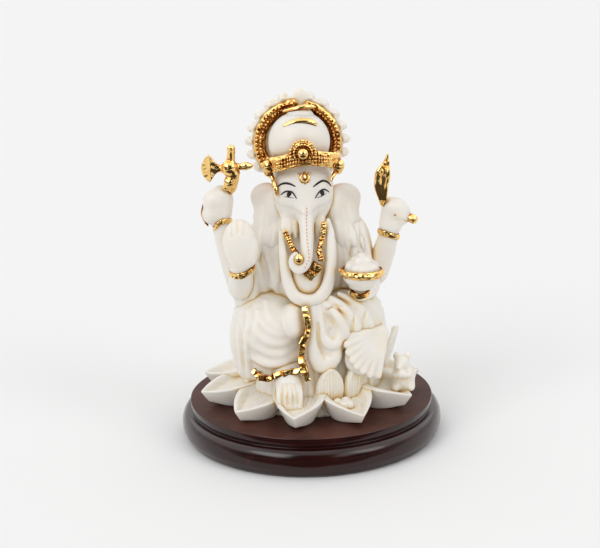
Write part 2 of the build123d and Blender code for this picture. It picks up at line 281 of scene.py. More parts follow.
BLOCK = 8
CORNERS = [(i, j, k) for i in (0, 1) for j in (0, 1) for k in (0, 1)]
CUBE_EDGES = [(a, b) for a in range(8) for b in range(a + 1, 8)
              if sum(x != y for x, y in zip(CORNERS[a], CORNERS[b])) == 1]


def sample(clay, step, low, high):
    """The field on a grid, worked out only in the blocks that the surface may cross."""
    count = np.ceil((high - low) / (step * BLOCK)).astype(int)
    size = step * BLOCK
    index = np.indices(count).reshape(3, -1)
    middles = (low.reshape(3, 1) + (index + 0.5) * size - step / 2).astype(np.float32)
    rough = in_chunks(lambda p: clay.field(p, everywhere=True), middles)
    grid = np.empty(tuple(count) + (BLOCK,) * 3, np.float32)
    grid[:] = np.where(rough < 0, -OUTSIDE, OUTSIDE).reshape(tuple(count) + (1, 1, 1))
    active = np.nonzero(np.abs(rough) < size * 1.25)[0]
    inner = np.indices((BLOCK,) * 3).reshape(3, 1, -1)

    def fill(blocks):
        at = index[:, blocks].reshape(3, -1, 1) * BLOCK + inner
        points = (low.reshape(3, 1) + at.reshape(3, -1) * step).astype(np.float32)
        return clay.field(points).reshape(len(blocks), -1)

    patch = index[:, active] // 3
    key = (patch[0] * count[1] + patch[1]) * count[2] + patch[2]
    order = np.argsort(key, kind="stable")
    groups = np.split(active[order], np.nonzero(np.diff(key[order]))[0] + 1)
    with ThreadPoolExecutor(CORES) as pool:
        results = list(pool.map(fill, groups))
    flat = grid.reshape(-1, BLOCK**3)
    for group, values in zip(groups, results):
        flat[group] = values
    grid = grid.transpose(0, 3, 1, 4, 2, 5).reshape(tuple(count * BLOCK))
    return grid


def skin(clay, step):
    """Surface nets: a vertex in each cell that the surface crosses, moved on to the surface; and quads."""
    margin = 3 * step + 0.6
    low = clay.low - margin
    high = clay.high + margin
    grid = sample(clay, step, low, high)
    grid[[0, -1]] = OUTSIDE
    grid[:, [0, -1]] = OUTSIDE
    grid[:, :, [0, -1]] = OUTSIDE
    inside = grid < 0
    shape = tuple(n - 1 for n in grid.shape)

    def window(values, corner):
        i, j, k = corner
        return values[i:i + shape[0], j:j + shape[1], k:k + shape[2]]

    some = np.zeros(shape, bool)
    every = np.ones(shape, bool)
    for corner in CORNERS:
        some |= window(inside, corner)
        every &= window(inside, corner)
    cells = np.argwhere(some & ~every)
    number = np.full(shape, -1, np.int32)
    number[tuple(cells.T)] = np.arange(len(cells))
    values = np.stack([grid[tuple((cells + c).T)] for c in CORNERS])
    total = np.zeros((len(cells), 3), np.float32)
    hits = np.zeros((len(cells), 1), np.float32)
    for a, b in CUBE_EDGES:
        va, vb = values[a], values[b]
        cross = (va < 0) != (vb < 0)
        t = np.where(cross, va / np.where(cross, va - vb, 1), 0)[:, None]
        place = np.array(CORNERS[a]) + t * (np.array(CORNERS[b]) - np.array(CORNERS[a]))
        total += np.where(cross[:, None], place, 0)
        hits += cross[:, None]
    points = ((cells + total / hits) * step + low).T.astype(np.float32)
    points = settle(clay, points, step)
    quads = []
    for axis in range(3):
        ahead = [0, 0, 0]
        ahead[axis] = 1
        u, v = [(1, 2), (2, 0), (0, 1)][axis]
        first = inside[1:-1, 1:-1, 1:-1]
        second = inside[tuple(slice(1 + n, size - 1 + n) for n, size in zip(ahead, inside.shape))]
        at = np.argwhere(first != second) + 1
        leaves = first[tuple((at - 1).T)]
        du, dv = np.zeros(3, int), np.zeros(3, int)
        du[u], dv[v] = 1, 1
        ring = [number[tuple((at - s * du - t * dv).T)] for s, t in ((1, 1), (0, 1), (0, 0), (1, 0))]
        ring = np.stack(ring, 1)
        quads.append(np.where(leaves[:, None], ring, ring[:, ::-1]))
    return points, np.concatenate(quads)


def slope(field, p, gap=0.06):
    """The gradient of a field at the points, by differences at the corners of a tetrahedron."""
    corners = np.array([(1, -1, -1), (-1, -1, 1), (-1, 1, -1), (1, 1, 1)], np.float32)
    total = np.zeros_like(p)
    for corner in corners:
        total += corner.reshape(3, 1) * field(p + gap * corner.reshape(3, 1))
    return total / (4 * gap)


def settle(clay, points, step, rounds=2):
    """Moves points along the gradient on to the surface."""

    def move(p):
        for _ in range(rounds):
            gradient = slope(clay.field, p)
            size = np.maximum((gradient**2).sum(0), 0.2)
            most = 0.7 * step
            p = p - gradient * np.clip(clay.field(p) / size, -most, most)
        return p

    return in_chunks(move, points, 16384)


def pressed(clay, points, sink=0.0, look=LOOK, march_from=14.0):
    """The places where lines along look, through the points, come closest to the clay, pushed in by sink."""
    p = np.array(points, np.float32).T
    way = np.array(look, np.float32).reshape(3, 1)
    p = p - march_from * way
    best, best_distance = p, np.full(p.shape[1], 1e6)
    for _ in range(40):
        d = clay.field(p, everywhere=True)
        nearer = np.abs(d) < best_distance
        best = np.where(nearer, p, best)
        best_distance = np.where(nearer, np.abs(d), best_distance)
        p = p + way * np.clip(d * 0.8, -0.5, 2.0)
    return list((best + way * sink).T)


def roughen(clay, scale, lift):
    """Gives the clay a gentle uneven surface, as hand-finished castings have."""

    def measure(p):
        x, y, z = p / scale
        wave = np.sin(x + 1.7 * np.sin(y * 0.8))
        wave = wave * np.sin(y * 1.1 + 1.3 * np.sin(z * 0.9))
        wave = wave * np.sin(z * 1.2 + 1.1 * np.sin(x * 0.7))
        return lift * wave

    clay.put("bend", measure, clay.low, clay.high)


# ---- meshes --------------------------------------------------------------------------------------
clays = []      # every solid, for the depth of the creases


def field_around(p):
    """Distance to the nearest of all the clays, for points close to each other."""
    d = np.full(p.shape[1], OUTSIDE, np.float32)
    low, high = p.min(1), p.max(1)
    for clay in clays:
        if (clay.low > high + PROBE_MARGIN).any() or (clay.high < low - PROBE_MARGIN).any():
            continue
        d = np.minimum(d, clay.field(p))
    return d


def crease_depth(clay, points):
    """0 on open surfaces, towards 1 in creases: how closely the solids stand round each point. The materials
    paint shade into the creases from it.
    """

    def work(p):
        gradient = slope(clay.field, p)
        steepness = np.sqrt((gradient**2).sum(0))
        normal = gradient / np.maximum(steepness, 1e-3)
        scale = np.clip(steepness, 0.35, 1.0)
        total = np.zeros(p.shape[1], np.float32)
        for reach, share in CREASE_PROBES:
            total += share * np.clip(1 - field_around(p + normal * reach) / (reach * scale), 0, 1)
        return total

    return in_chunks(work, points, 12288)


def mesh_from(name, points, faces, crease_shade=None):
    mesh = bpy.data.meshes.new(name)
    mesh.vertices.add(points.shape[1])
    mesh.vertices.foreach_set("co", (points.T * MM).astype(np.float32).ravel())
    mesh.loops.add(faces.size)
    mesh.loops.foreach_set("vertex_index", faces.astype(np.int32).ravel())
    mesh.polygons.add(len(faces))
    mesh.polygons.foreach_set("loop_start", np.arange(0, faces.size, faces.shape[1], dtype=np.int32))
    mesh.polygons.foreach_set("loop_total", np.full(len(faces), faces.shape[1], np.int32))
    mesh.polygons.foreach_set("use_smooth", np.ones(len(faces), bool))
    mesh.update(calc_edges=True)
    mesh.validate()
    if crease_shade is not None:
        # The crease depth is kept on the mesh; the materials paint shade into the creases from it.
        layer = mesh.color_attributes.new("crease_shade", "FLOAT_COLOR", "POINT")
        colour = np.ones((points.shape[1], 4), np.float32)
        colour[:, :3] = crease_shade[:, None]
        layer.data.foreach_set("color", colour.ravel())
    return mesh


jobs = []       # (piece name, clay, grid step, material, slot, nodes replaced)


def piece(name, clay, step, material, slot, nodes, solid=True):
    """Notes a piece to be skinned once all the clays are known."""
    if solid:
        clays.append(clay)
    jobs.append((name, clay, step, material, slot, nodes))


def resin(name, clay, step=SMALL_STEP, material="resin", solid=True):
    piece(name, clay, step, material, "marble_resin", [name], solid)


def gilt(name, clay):
    piece(name, clay, GILT_STEP, "gilt", "gilt", [name])


def paint(name, clay, material="black_paint"):
    piece(name, clay, PAINT_STEP, material, "marble_resin", [], solid=False)


def begin(name, blend):
    """The place of a node and fresh clay for it."""
    return Spot(name), Clay(blend)


def show(name, mesh, material, nodes):
    obj = bpy.data.objects.new(name, mesh)
    bpy.context.scene.collection.objects.link(obj)
    obj.data.materials.append(materials[material])
    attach(obj, "root")
    if nodes:
        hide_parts(*nodes)


def make_pieces():
    for name, clay, step, material, slot, nodes in jobs:
        points, faces = skin(clay, step)
        show(name, mesh_from(name, points, faces, crease_depth(clay, points)), material, nodes)


# ---- sculpting strokes ---------------------------------------------------------------------------
def fold(clay, points, radii, lift=0.4, blend=1.5, steps=4, look=LOOK):
    """A soft ridge of cloth laid on the clay; lift is how deep its middle line is sunk."""
    clay.tube(pressed(clay, points, lift, look), radii, blend=blend, steps=steps)


def groove(clay, points, radius, depth=0.1, blend=0.6, steps=4, look=LOOK):
    """A soft channel pressed into the clay."""
    clay.tube(pressed(clay, points, depth, look), radius, blend=blend, how="cut", steps=steps)


def one_side(clay, side, cut, reach=2.5):
    """What lies on one side of cut. Past the cut, the surface dives gently below that of the other side."""
    part = Clay(clay.blend)

    def measure(p):
        past = side * cut(p)
        dive = 0.04 * np.maximum(past, 0) + 0.2 * np.maximum(past, 0) ** 2
        return np.maximum(clay.field(p) + dive, past - reach)

    return part.put("add", measure, clay.low, clay.high, 0)


# ---- head, trunk and ears ------------------------------------------------------------------------
def head_clay():
    home, clay = begin("head", 2.0)
    clay.egg(home(0, 0.5, 1.7), (11.0, 11.2, 10.0))
    clay.egg(home(0.2, -1.4, -3.7), (9.0, 9.0, 8.0), blend=3.5)
    clay.tube(home.line([(-5.1, -5, -0.1), (-5.5, -4.8, -4.3), (-4.8, -5.2, -8.1)]), [5.0, 5.0, 4.4],
              blend=3.0)
    clay.tube(home.line([(5.8, -5, -0.1), (6, -4.8, -4.3), (5.2, -5.2, -7.9)]), [5.0, 4.9, 4.2], blend=3.0)
    clay.tube(home.line([(0.5, -3.6, 3.2), (0.6, -6.6, -2.3), (0.8, -10, -7.3), (1, -13.2, -11.9),
                (1, -16, -16.9), (0.8, -18.2, -21.7), (0, -19.5, -24.9), (-2.1, -20, -26.4),
                (-3.9, -20, -25), (-4.1, -19.9, -22.7), (-3.2, -19.8, -21.3)]),
              [4.4, 4.4, 3.7, 2.75, 2.45, 2.25, 2.2, 2.0, 1.8, 1.5, 1.15], blend=3.4, steps=4)
    for x, drop in ((-8.4, 1.0), (-6.4, 0.0), (-4.2, 0.8), (3.6, 0.6), (5.6, -0.2)):
        tuft = [(0.95 * x + 1.2, -7.6, -10.3), (x + 1.2, -10.4, -13.3 - 0.5 * drop),
                (1.02 * x + 1.2, -12.4, -15.7 - drop)]
        clay.tube(home.line(tuft), [1.5, 1.3, 0.6], blend=1.0)
    for x in (-4.8, 6.2):
        clay.egg(home(x, -14.2, -0.1), (3.0, 3.0, 1.6), blend=2.0, how="cut")
    return clay


def make_head():
    clay = head_clay()
    home = Spot("trunk")
    shoulder = home.high - (0.0, 6.0, 8.0)

    def above(p):
        return shoulder[2] - p[2] + 0.5 * (p[1] - shoulder[1])

    resin("head", one_side(clay, 1, above), BODY_STEP, solid=False)
    resin("trunk", one_side(clay, -1, above), BODY_STEP, solid=False)
    clays.append(clay)
    return clay


def make_ear(torso, name, lobes, rim, girths, tufts):
    """An ear with a rolled rim, and tufts of hair that run down from it on to the robe."""
    home, clay = begin(name, 2.4)
    for place, radii in lobes:
        clay.egg(home(*place), radii)
    clay.tube(home.line(rim), girths)
    for points, girth in tufts:
        line = home.line(points)
        line = line[:2] + pressed(torso, line[2:], 0.7)
        clay.tube(line, [0.4 * girth, girth, 1.1 * girth, 0.4 * girth], blend=1.3)
    resin(name, clay, material="ear")


def make_ears(torso):
    make_ear(
        torso, "right_ear",
        lobes=(
            ((2, -0.8, 2.2), (5.4, 2.8, 4.6)),
            ((2.8, -2, -4.4), (5.4, 3.4, 5.8)),
            ((5.4, -3.6, -1.4), (3.6, 4.4, 6.6)),
            ((2.2, -3.4, -8.6), (4.8, 2.8, 5.4)),
        ),
        rim=[(5, -2.4, 5.6), (2, -2, 5.9), (-1, -1.6, 4.6), (-2.2, -1.2, 1.6),
             (-1.6, -1.2, -1.2), (-0.8, -1.6, -3.2), (-1.4, -1.8, -5.4), (-1.2, -2.4, -9.8)],
        girths=[1.0, 1.2, 1.3, 1.2, 1.1, 1.1, 1.2, 1.0],
        tufts=(
            ([(-1.4, -2.6, -3.8), (-1.8, -3.6, -9.8), (-2.6, -4.6, -14.8), (-4, -5.4, -19.4)], 1.3),
            ([(0.6, -3.8, -1.8), (0.2, -4.8, -7.8), (-0.6, -6.2, -13.8), (-2, -7.4, -20.8)], 1.5),
            ([(3, -5, -1.8), (2.8, -5.8, -7.8), (2, -7.4, -13.8), (0.8, -9, -18.8)], 1.5),
            ([(5.2, -6, -1.8), (5.2, -6.8, -7.4), (4.4, -8.2, -12.8), (3.4, -9.8, -16.8)], 1.4),
            ([(7.2, -7.2, -3.8), (7, -8, -7.8), (6.2, -9.2, -11.8), (5.4, -10.4, -14.8)], 1.1),
        ))
    make_ear(
        torso, "left_ear",
        lobes=(
            ((-0.8, -0.8, 1.4), (5.8, 2.8, 4.6)),
            ((-1.4, -2, -4.8), (6.0, 3.4, 5.8)),
            ((-4.2, -3.6, -1.8), (3.6, 4.4, 6.4)),
            ((-0.4, -3.4, -9), (5.0, 2.8, 5.6)),
        ),
        rim=[(-4.8, -2.6, 4.2), (-1, -2, 4.9), (2.6, -1.6, 4), (4.2, -1.2, 1.2),
             (3.8, -1.2, -2.2), (3.2, -1.6, -5), (4, -2.4, -9.8)],
        girths=[1.0, 1.2, 1.3, 1.2, 1.1, 1.2, 1.1],
        tufts=(
            ([(3.2, -2.6, -3.8), (4, -3.6, -9.8), (5.4, -4.4, -14.8), (6.8, -5.2, -19.8)], 1.3),
            ([(1, -3.8, -1.8), (1.4, -4.8, -7.8), (2.6, -6, -13.8), (4, -7, -18.4)], 1.5),
            ([(-1.4, -5, -1.8), (-1.2, -5.8, -7.8), (-0.2, -7.2, -13.8), (1, -8.6, -20.2)], 1.5),
            ([(-3.6, -6, -2.2), (-3.6, -6.8, -7.4), (-2.8, -8.2, -12.8), (-2, -9.6, -16.4)], 1.4),
        ))


# ---- robe and shawl ------------------------------------------------------------------------------
def make_torso():
    home, clay = begin("torso", 3.0)
    clay.egg(home(0.2, 1.4, -1.2), (20.0, 17.0, 21.0))
    clay.egg(home(0, 4.4, 10.8), (15.0, 10.5, 11.0))
    clay.egg(home(0.6, -7.4, -2.6), (9.4, 13.4, 11.5), blend=1.5)
    clay.tube(home.line([(-11.6, 1.8, 14.4), (-16, -1.1, 8.8), (-18.4, -3.6, 0.8), (-20.6, -5.6, -9.2),
                (-20, -4.6, -16.2)]), [4.6, 5.8, 6.6, 6.6, 6.6], blend=2.5)
    clay.tube(home.line([(13, 1.4, 14.4), (16.8, -1.1, 9.8), (18.2, -3.1, 1.8), (19.2, -4.6, -7.2),
                (20, -2.6, -15.2)]), [5.4, 7.0, 7.4, 7.0, 6.4], blend=2.5)
    folds = (
        ([(-12, -9.6, 16.3), (-11.4, -13.1, 9.3), (-10.8, -14.6, 1.8), (-11.4, -15.1, -5.2)],
         [1.2, 1.9, 2.1, 1.8], 1.5),
        ([(-16.4, -8.1, 14.8), (-15.4, -10.6, 8.3), (-14.4, -12.6, 1.3), (-15.2, -13.1, -7.2)],
         [1.2, 1.6, 1.9, 2.0], 1.5),
        ([(-19.6, -5.6, 9.8), (-19.4, -7.6, 2.8), (-18.6, -9.6, -3.2), (-19.4, -10.1, -11.2)],
         [1.0, 1.5, 1.8, 1.6], 1.5),
        ([(-23.6, -5.6, 2.8), (-23.6, -6.6, -3.2), (-23.8, -7.1, -11.2)],
         [0.9, 1.5, 1.4], 1.5),
        ([(13.6, -9.6, 14.8), (14.2, -11.6, 7.8), (15, -12.6, 1.3), (16.2, -13.6, -5.7)],
         [1.3, 1.7, 1.9, 1.8], 1.5),
        ([(17.4, -7.6, 14.8), (18.4, -9.6, 8.3), (19.4, -10.6, 1.8), (20, -11.1, -5.2)],
         [1.2, 1.5, 1.7, 1.5], 1.5),
        ([(21.4, -4.6, 13.8), (22.4, -6.6, 7.8), (23.2, -7.1, 1.3), (23.6, -7.1, -5.2)],
         [1.0, 1.3, 1.4, 1.3], 1.5),
        ([(-18, -7.6, 16.8), (-15, -11.6, 9.8), (-12.2, -14.6, 0.8), (-10.4, -16.6, -8.2)],
         [0.7, 1.2, 1.4, 1.2], 0.9),
        ([(-21.4, -6.6, 10.8), (-18.4, -9.6, 2.8), (-16, -12.6, -4.2), (-14.4, -14.6, -11.2)],
         [0.6, 1.0, 1.2, 1.0], 0.9),
        ([(-10.4, -11.6, 16.8), (-9.9, -14.6, 9.8), (-9.8, -16.2, 2.8), (-10.6, -17, -3.2)],
         [0.7, 0.9, 1.1, 0.9], 0.8),
        ([(11.6, -11.6, 14.8), (12.2, -13.6, 8.8), (12.6, -15, 1.8), (11.6, -16.6, -5.2)],
         [0.7, 1.0, 1.1, 0.9], 0.8),
        ([(19.6, -6.6, 14.8), (19, -9.6, 7.8), (17.4, -12.6, 0.8), (14.2, -15.2, -6.2)],
         [0.6, 1.0, 1.2, 1.0], 0.9),
    )
    for points, radii, blend in folds:
        fold(clay, home.line(points), radii, blend=blend)
    for index in range(11):
        spread = (index - 5) / 5
        top = home(11.0 * spread, 8.0, 14.0)
        foot = home(19.0 * spread, 14.0 - 5.0 * spread**2, -20.0)
        middle = (top + foot) / 2 + (2.0 * spread, 5.0, 0.0)
        fold(clay, [top, middle, foot], [1.0, 1.7, 1.9], blend=1.6, look=(0, -1, 0))
    resin("torso", clay, BODY_STEP)
    return clay


def make_shawl():
    home, clay = begin("shawl_roll", 1.0)
    path = home.line([(-8.8, 3.1, 9.2), (-8.5, 0.1, 5.2), (-8.1, -1.9, 0.2), (-7.6, -3.3, -4.9),
             (-6.6, -4.2, -10.2), (-4.4, -4.9, -14.6), (-0.2, -5.2, -16.6), (4, -4.9, -16),
             (7.4, -4.2, -12), (9, -3.2, -5.6), (9.4, -1.5, 1.6), (9.2, 0.5, 7.6), (8.6, 2.7, 11.6)])
    girth = np.array([0.7, 1.2, 1.6, 1.8, 2.0, 2.2, 2.3, 2.3, 2.2, 2.0, 1.8, 1.5, 0.8])
    clay.tube(path, girth, steps=6)
    centre = home(0.3, -2.3, -1.4)
    inner = [p + 0.08 * (centre - p) + (0.0, -0.9, 0.0) for p in path]
    clay.tube(inner, 0.8 * girth - 0.35, steps=6, blend=1.0)
    resin("shawl_roll", clay)


# ---- legs and dhoti ------------------------------------------------------------------------------
def make_right_leg():
    home, clay = begin("right_leg", 3.0)
    clay.egg(home(-2.4, -6, 1.6), (13.0, 15.6, 13.2))
    clay.egg(home(-6.6, -0.5, -2.9), (10.4, 14.0, 15.0))
    clay.egg(home(-0.4, -10.9, -6.9), (9.8, 9.6, 7.6), blend=2.0)
    clay.tube(home.line([(-8.5, -2.5, 5.1), (-10.4, -4, -4.9), (-9.6, -5.5, -13.9)]), [6.6, 7.4, 6.6])
    clay.box(home(4, -18.5, -18.5), (12.0, 14.0, 5.0), corner=0.5, blend=1.0, how="cut")
    swags = (
        ([(-13, -14.5, 5.7), (-9.5, -19.5, 0.1), (-3.7, -22.5, -3.5), (2, -23, -3.9),
           (7.6, -22.5, -0.5)], 1.35),
        ([(-14.2, -12.5, 1.1), (-11, -18.5, -4.3), (-4.5, -22.5, -7.9), (2.4, -23, -7.7),
           (7.6, -22.5, -3.9)], 1.5),
        ([(-13.8, -12.5, -4.5), (-9.4, -19.5, -8.9), (-3, -22.5, -11.1), (3.4, -23, -10.7),
           (7.6, -22.5, -7.9)], 1.3),
        ([(-10.8, -14.5, 9.3), (-7.6, -19.5, 3.7), (-3, -22, 0.3), (2, -22.5, -0.3),
           (6.8, -22.5, 1.9)], 1.15),
        ([(-7.8, -15.5, 12.1), (-5.6, -19.5, 7.3), (-2, -21.5, 3.9), (1.6, -22.5, 2.9)], 1.0),
        ([(-4, -16.5, 13.7), (-2.8, -19.5, 9.5), (-0.8, -21.5, 6.3), (1.2, -22.5, 5.1)], 0.9),
    )
    for points, girth in swags:
        share = np.interp(np.linspace(0, 1, len(points)), [0, 0.5, 1], [0.6, 1.0, 0.55])
        fold(clay, home.line(points), girth * share, lift=0.5, blend=1.6)
    drapes = ((-13.6, -13.9, 1.2), (-10.8, -15.9, 1.3), (-15.8, -11.9, 1.0), (-7.8, -15.3, 1.0))
    for x, bottom, girth in drapes:
        fold(clay, home.line([(x + 0.8, -9.5, 8.1), (x - 0.4, -12.5, -0.9), (x, -12.5, bottom)]),
             [0.7, girth, girth * 0.8], blend=1.4)
    clay.egg(home(5.6, -17.1, 6.7), (4.7, 5.6, 6.3), turn=(0, 8, 0), blend=1.8)
    clay.egg(home(6.8, -17.3, 4.3), (3.4, 5.4, 3.6), blend=2.0)
    fold(clay, home.line([(2.2, -21.5, 9.1), (2.8, -21.5, 5.7), (4.4, -21.5, 2.5)]), [0.4, 0.6, 0.4],
         lift=0.3, blend=0.8)
    for index in range(7):
        z = 7.1 - index * 3.4
        fold(clay, home.line([(-7, 15.5, z), (-14, 9.5, z - 1.5), (-16, 1.5, z - 1.0)]), [0.8, 1.3, 0.9],
             look=(0.8, -0.6, 0))
    resin("right_leg", clay, BODY_STEP)


def make_left_leg():
    home, clay = begin("left_leg", 3.0)
    clay.egg(home(-5.1, -2.5, -0.5), (15.0, 17.5, 12.0))
    clay.egg(home(2.5, -6.1, 0.4), (11.4, 13.4, 11.0))
    clay.egg(home(3.1, 0.5, -4), (12.2, 15.0, 13.0))
    clay.egg(home(-8.1, -14.5, -2), (7.4, 7.6, 11.0), blend=2.0)
    clay.egg(home(-7.3, -15.5, -9.4), (6.0, 6.6, 6.0), blend=2.0)
    clay.egg(home(-0.1, -11.1, 3.4), (10.0, 8.8, 8.6), turn=(0, 0, 12), blend=2.0)
    clay.tube(home.line([(9.1, -3.5, 6.5), (11.9, -4.5, -3), (12.7, -5.1, -14)]), [3.2, 3.4, 3.0], blend=2.0)
    even = [0.9, 1.4, 1.7, 1.7, 1.3]
    swags = (
        ([(-11.3, -19.5, 11), (-12.1, -21.3, 6), (-12.3, -21.9, -1), (-12.1, -21.9, -7),
          (-10.7, -21.5, -11.4), (-7.9, -21.1, -13.2), (-4.7, -20.7, -10.4), (-2.9, -19.5, -6.2)],
         [1.1, 1.7, 2.3, 2.8, 3.3, 3.4, 3.0, 1.8]),
        ([(-9.5, -19.9, 10.4), (-9.3, -21.5, 5), (-8.5, -22.3, -0.6), (-6.5, -22.5, -4.4),
          (-3.5, -21.7, -4.8), (-1.9, -20.9, -1.4), (-1.9, -20.1, 2.4)],
         [0.9, 1.4, 1.7, 2.0, 2.0, 1.7, 1.1]),
        ([(-7.5, -19.9, 10.4), (-4.7, -21.3, 7.6), (-1.9, -21.5, 3.8), (0.3, -20.5, -1.6),
          (0.5, -19.5, -6.4)], even),
        ([(-5.5, -18.9, 12), (-1.3, -19.9, 9.2), (2.1, -19.7, 4.8), (4.1, -18.9, -0.8),
          (4.5, -17.9, -5)], even),
        ([(-2.1, -17.3, 12.6), (2.9, -17.5, 9.8), (6.3, -16.7, 5.2), (8.3, -15.5, -0.2),
          (8.7, -14.7, -4)], even),
        ([(1.9, -14.9, 12.2), (7.1, -14.1, 9.4), (10.5, -12.5, 4.6), (12.3, -10.9, -1),
          (12.7, -10.1, -6)], even),
    )
    clay.egg(home(-6.5, -15.9, 7.6), (4.4, 5.2, 4.0), blend=2.0)
    for points, radii in swags:
        clay.tube(home.line(points), radii, blend=1.5)
    clay.egg(home(-5.7, -24.5, 0.2), (1.3, 3.6, 1.6), turn=(0, -20, 0), blend=1.2, how="cut")
    for points in ([(-0.9, -26.5, 10.4), (-4.1, -26.5, 10.6), (-6.7, -26.5, 9.4)],
                   [(3.5, -26.5, 7), (2.5, -26.5, 3), (2.1, -26.5, -1)],
                   [(7.7, -26.5, 8.6), (6.5, -26.5, 4.6), (6.3, -26.5, 1)],
                   [(-10.1, -26.5, 4), (-10.1, -26.5, -2), (-8.9, -26.5, -6.6), (-5.7, -26.5, -7.8)]):
        groove(clay, home.line(points), 0.4, depth=0.0, blend=0.9)
    for x, top in ((9.9, -1.0), (12.3, -2.0), (14.5, -4.0)):
        fold(clay, home.line([(x - 0.6, -10.5, top), (x, -10.5, top - 7), (x + 0.2, -10.5, top - 14)]),
             [0.7, 1.0, 0.8], blend=1.2)
    for index in range(6):
        z = 5.0 - index * 3.0
        fold(clay, home.line([(4.9, 13.5, z), (11.9, 7.5, z - 1.0), (13.9, -1.5, z - 0.6)]), [0.8, 1.0, 0.7],
             lift=0.6, look=(-0.8, -0.6, 0))
    resin("left_leg", clay, BODY_STEP)


def make_foot():
    home, clay = begin("right_foot", 1.2)
    clay.tube(home.line([(-0.8, 7.6, 7), (-0.4, 2.2, 4.1), (0.2, -1.6, -0.5)]), [5.1, 5.3, 4.4],
              flat=((0, 0.5, 1), 0.8))
    toes = ((-3.7, -3.9, 1.2), (-1.8, -5.3, 1.3), (0.1, -6.1, 1.35), (2.0, -5.9, 1.3), (3.7, -4.7, 1.2))
    for x, low, girth in toes:
        clay.tube(home.line([(0.85 * x - 0.4, 2.4, 6.1), (x, -3, 0.9), (x, -4.6, low)]),
                  [0.9, girth, girth * 0.85], blend=0.55)
    for x in (-2.7, -0.8, 1.1, 2.8):
        gap = home.line([(0.85 * x - 0.2, -4.4, 4.9), (x, -4.4, 1.1), (x, -4.4, -3.5)])
        groove(clay, gap, 0.3, depth=0.0, blend=0.8, look=(0, 0.7, -0.7))
    resin("right_foot", clay)


def make_sash_fan():
    home, clay = begin("sash_fan", 0.7)
    gather = home(7.9, 6.4, 7)
    edge = home.line([(-5.9, -2, 7), (-6.7, -3.5, 4.4), (-6.1, -4, 1.4), (-4.9, -4.4, -1.4),
             (-3.3, -4.4, -3.8), (-1.1, -4.2, -5.8), (1.5, -3.6, -7.4), (4.3, -2.6, -8.2)])
    for end in edge:
        start = gather + (end - gather) * 0.12
        middle = start + (end - start) * 0.55 + (0.0, -1.6, 0.5)
        clay.tube([start, middle, end], [1.0, 1.35, 1.5], blend=0.9)
    backing = [gather * (1 - share) + edge[4] * share + (0.0, 1.2, 0.0) for share in (0.15, 0.5, 0.85)]
    clay.tube(backing, [2.5, 4.6, 6.2], flat=((0.0, 1.0, 0.0), 0.3), blend=1.4)
    resin("sash_fan", clay)


# ---- arms ----------------------------------------------------------------------------------------
def make_right_rear_arm():
    home, clay = begin("right_rear_arm", 1.8)
    clay.tube(home.line([(8.6, 3.2, -14.8), (4.6, 0.7, -17.2), (2.4, -0.8, -12.2), (0.2, -2.2, -4.4),
                (-1.4, -3.2, 2.2), (-2, -3.6, 7.2)]), [5.2, 5.0, 4.5, 3.9, 3.3, 3.3])
    clay.box(home(-2.6, -3.6, 13.2), (5.2, 3.8, 5.4), turn=(0, 8, 0), corner=3.2, blend=1.6)
    clay.egg(home(-1.4, -4.2, 17.2), (3.9, 3.8, 3.9), blend=1.4)
    clay.egg(home(-5.4, -3.8, 10.2), (3.4, 3.6, 3.8), blend=1.4)
    clay.egg(home(-4.8, -4, 15.4), (3.6, 3.4, 3.2), blend=1.4)
    resin("right_rear_arm", clay)


def make_left_rear_arm():
    home, clay = begin("left_rear_arm", 1.8)
    clay.tube(home.line([(-9.4, 3, -11.4), (-3.8, 1, -12.4), (-1.6, -1, -7.8), (0.2, -2.4, -2),
                (1.4, -3.4, 2.6), (2.2, -3.8, 6.6)]), [5.0, 4.6, 4.4, 4.1, 3.7, 3.5])
    clay.box(home(3, -3.8, 11), (4.2, 3.6, 5.6), turn=(0, 10, 0), corner=3.0, blend=1.6)
    clay.egg(home(4.4, -4.2, 14), (4.6, 3.8, 4.0), turn=(0, 24, 0), blend=1.4)
    clay.egg(home(7, -4.4, 11.6), (2.9, 3.4, 3.6), blend=1.4)
    clay.egg(home(2, -4.6, 15.6), (2.4, 3.4, 2.6), blend=1.2)
    groove(clay, home.line([(9, -10, 10.2), (6.6, -10, 11.2), (4.2, -10, 11)]), 0.12, depth=0.0, blend=1.0)
    resin("left_rear_arm", clay)


def make_right_front_arm():
    home, clay = begin("right_front_arm", 1.6)
    clay.tube(home.line([(3.2, 7.9, -6.2), (-1.4, 2.9, -10.8), (-1.4, -2.7, -6.6), (-0.8, -6.7, -1.6)]),
              [5.4, 5.0, 4.4, 4.0])
    clay.tube(home.line([(-0.8, -7.9, 0.2), (-0.8, -9.1, 4.2)]), [4.2, 4.6], flat=((0.0, 1.0, 0.2), 0.7))
    clay.egg(home(-1, -9.5, 8.8), (6.2, 3.7, 9.4), turn=(-4, -3, 0), blend=1.0)
    for x, top in ((-4.0, 20.2), (-1.6, 21.6), (0.6, 20.6)):
        lean = 0.3 * (x + 1.4)
        finger = [(x + lean, -16.1, top + 1.6), (x + 0.4 * lean, -16.1, top - 2.4), (x, -16.1, top - 6.6)]
        groove(clay, home.line(finger), 0.2, depth=-0.08, blend=1.0)
    clay.egg(home(3.4, -10.1, 5.8), (1.9, 2.4, 4.6), turn=(0, 10, 0), blend=1.6)
    resin("right_front_arm", clay)


def make_left_front_arm():
    home, clay = begin("left_front_arm", 1.4)
    clay.tube(home.line([(-4.4, 4.7, 0.4), (-0.4, 1.7, -4.6), (-1.8, -4.3, -6), (-3.4, -9.7, -5)]),
              [5.2, 4.8, 3.6, 2.9])
    clay.egg(home(-3.2, -11.5, -1.2), (4.6, 5.0, 2.4), turn=(-16, 0, 0), blend=1.0)
    resin("left_front_arm", clay)


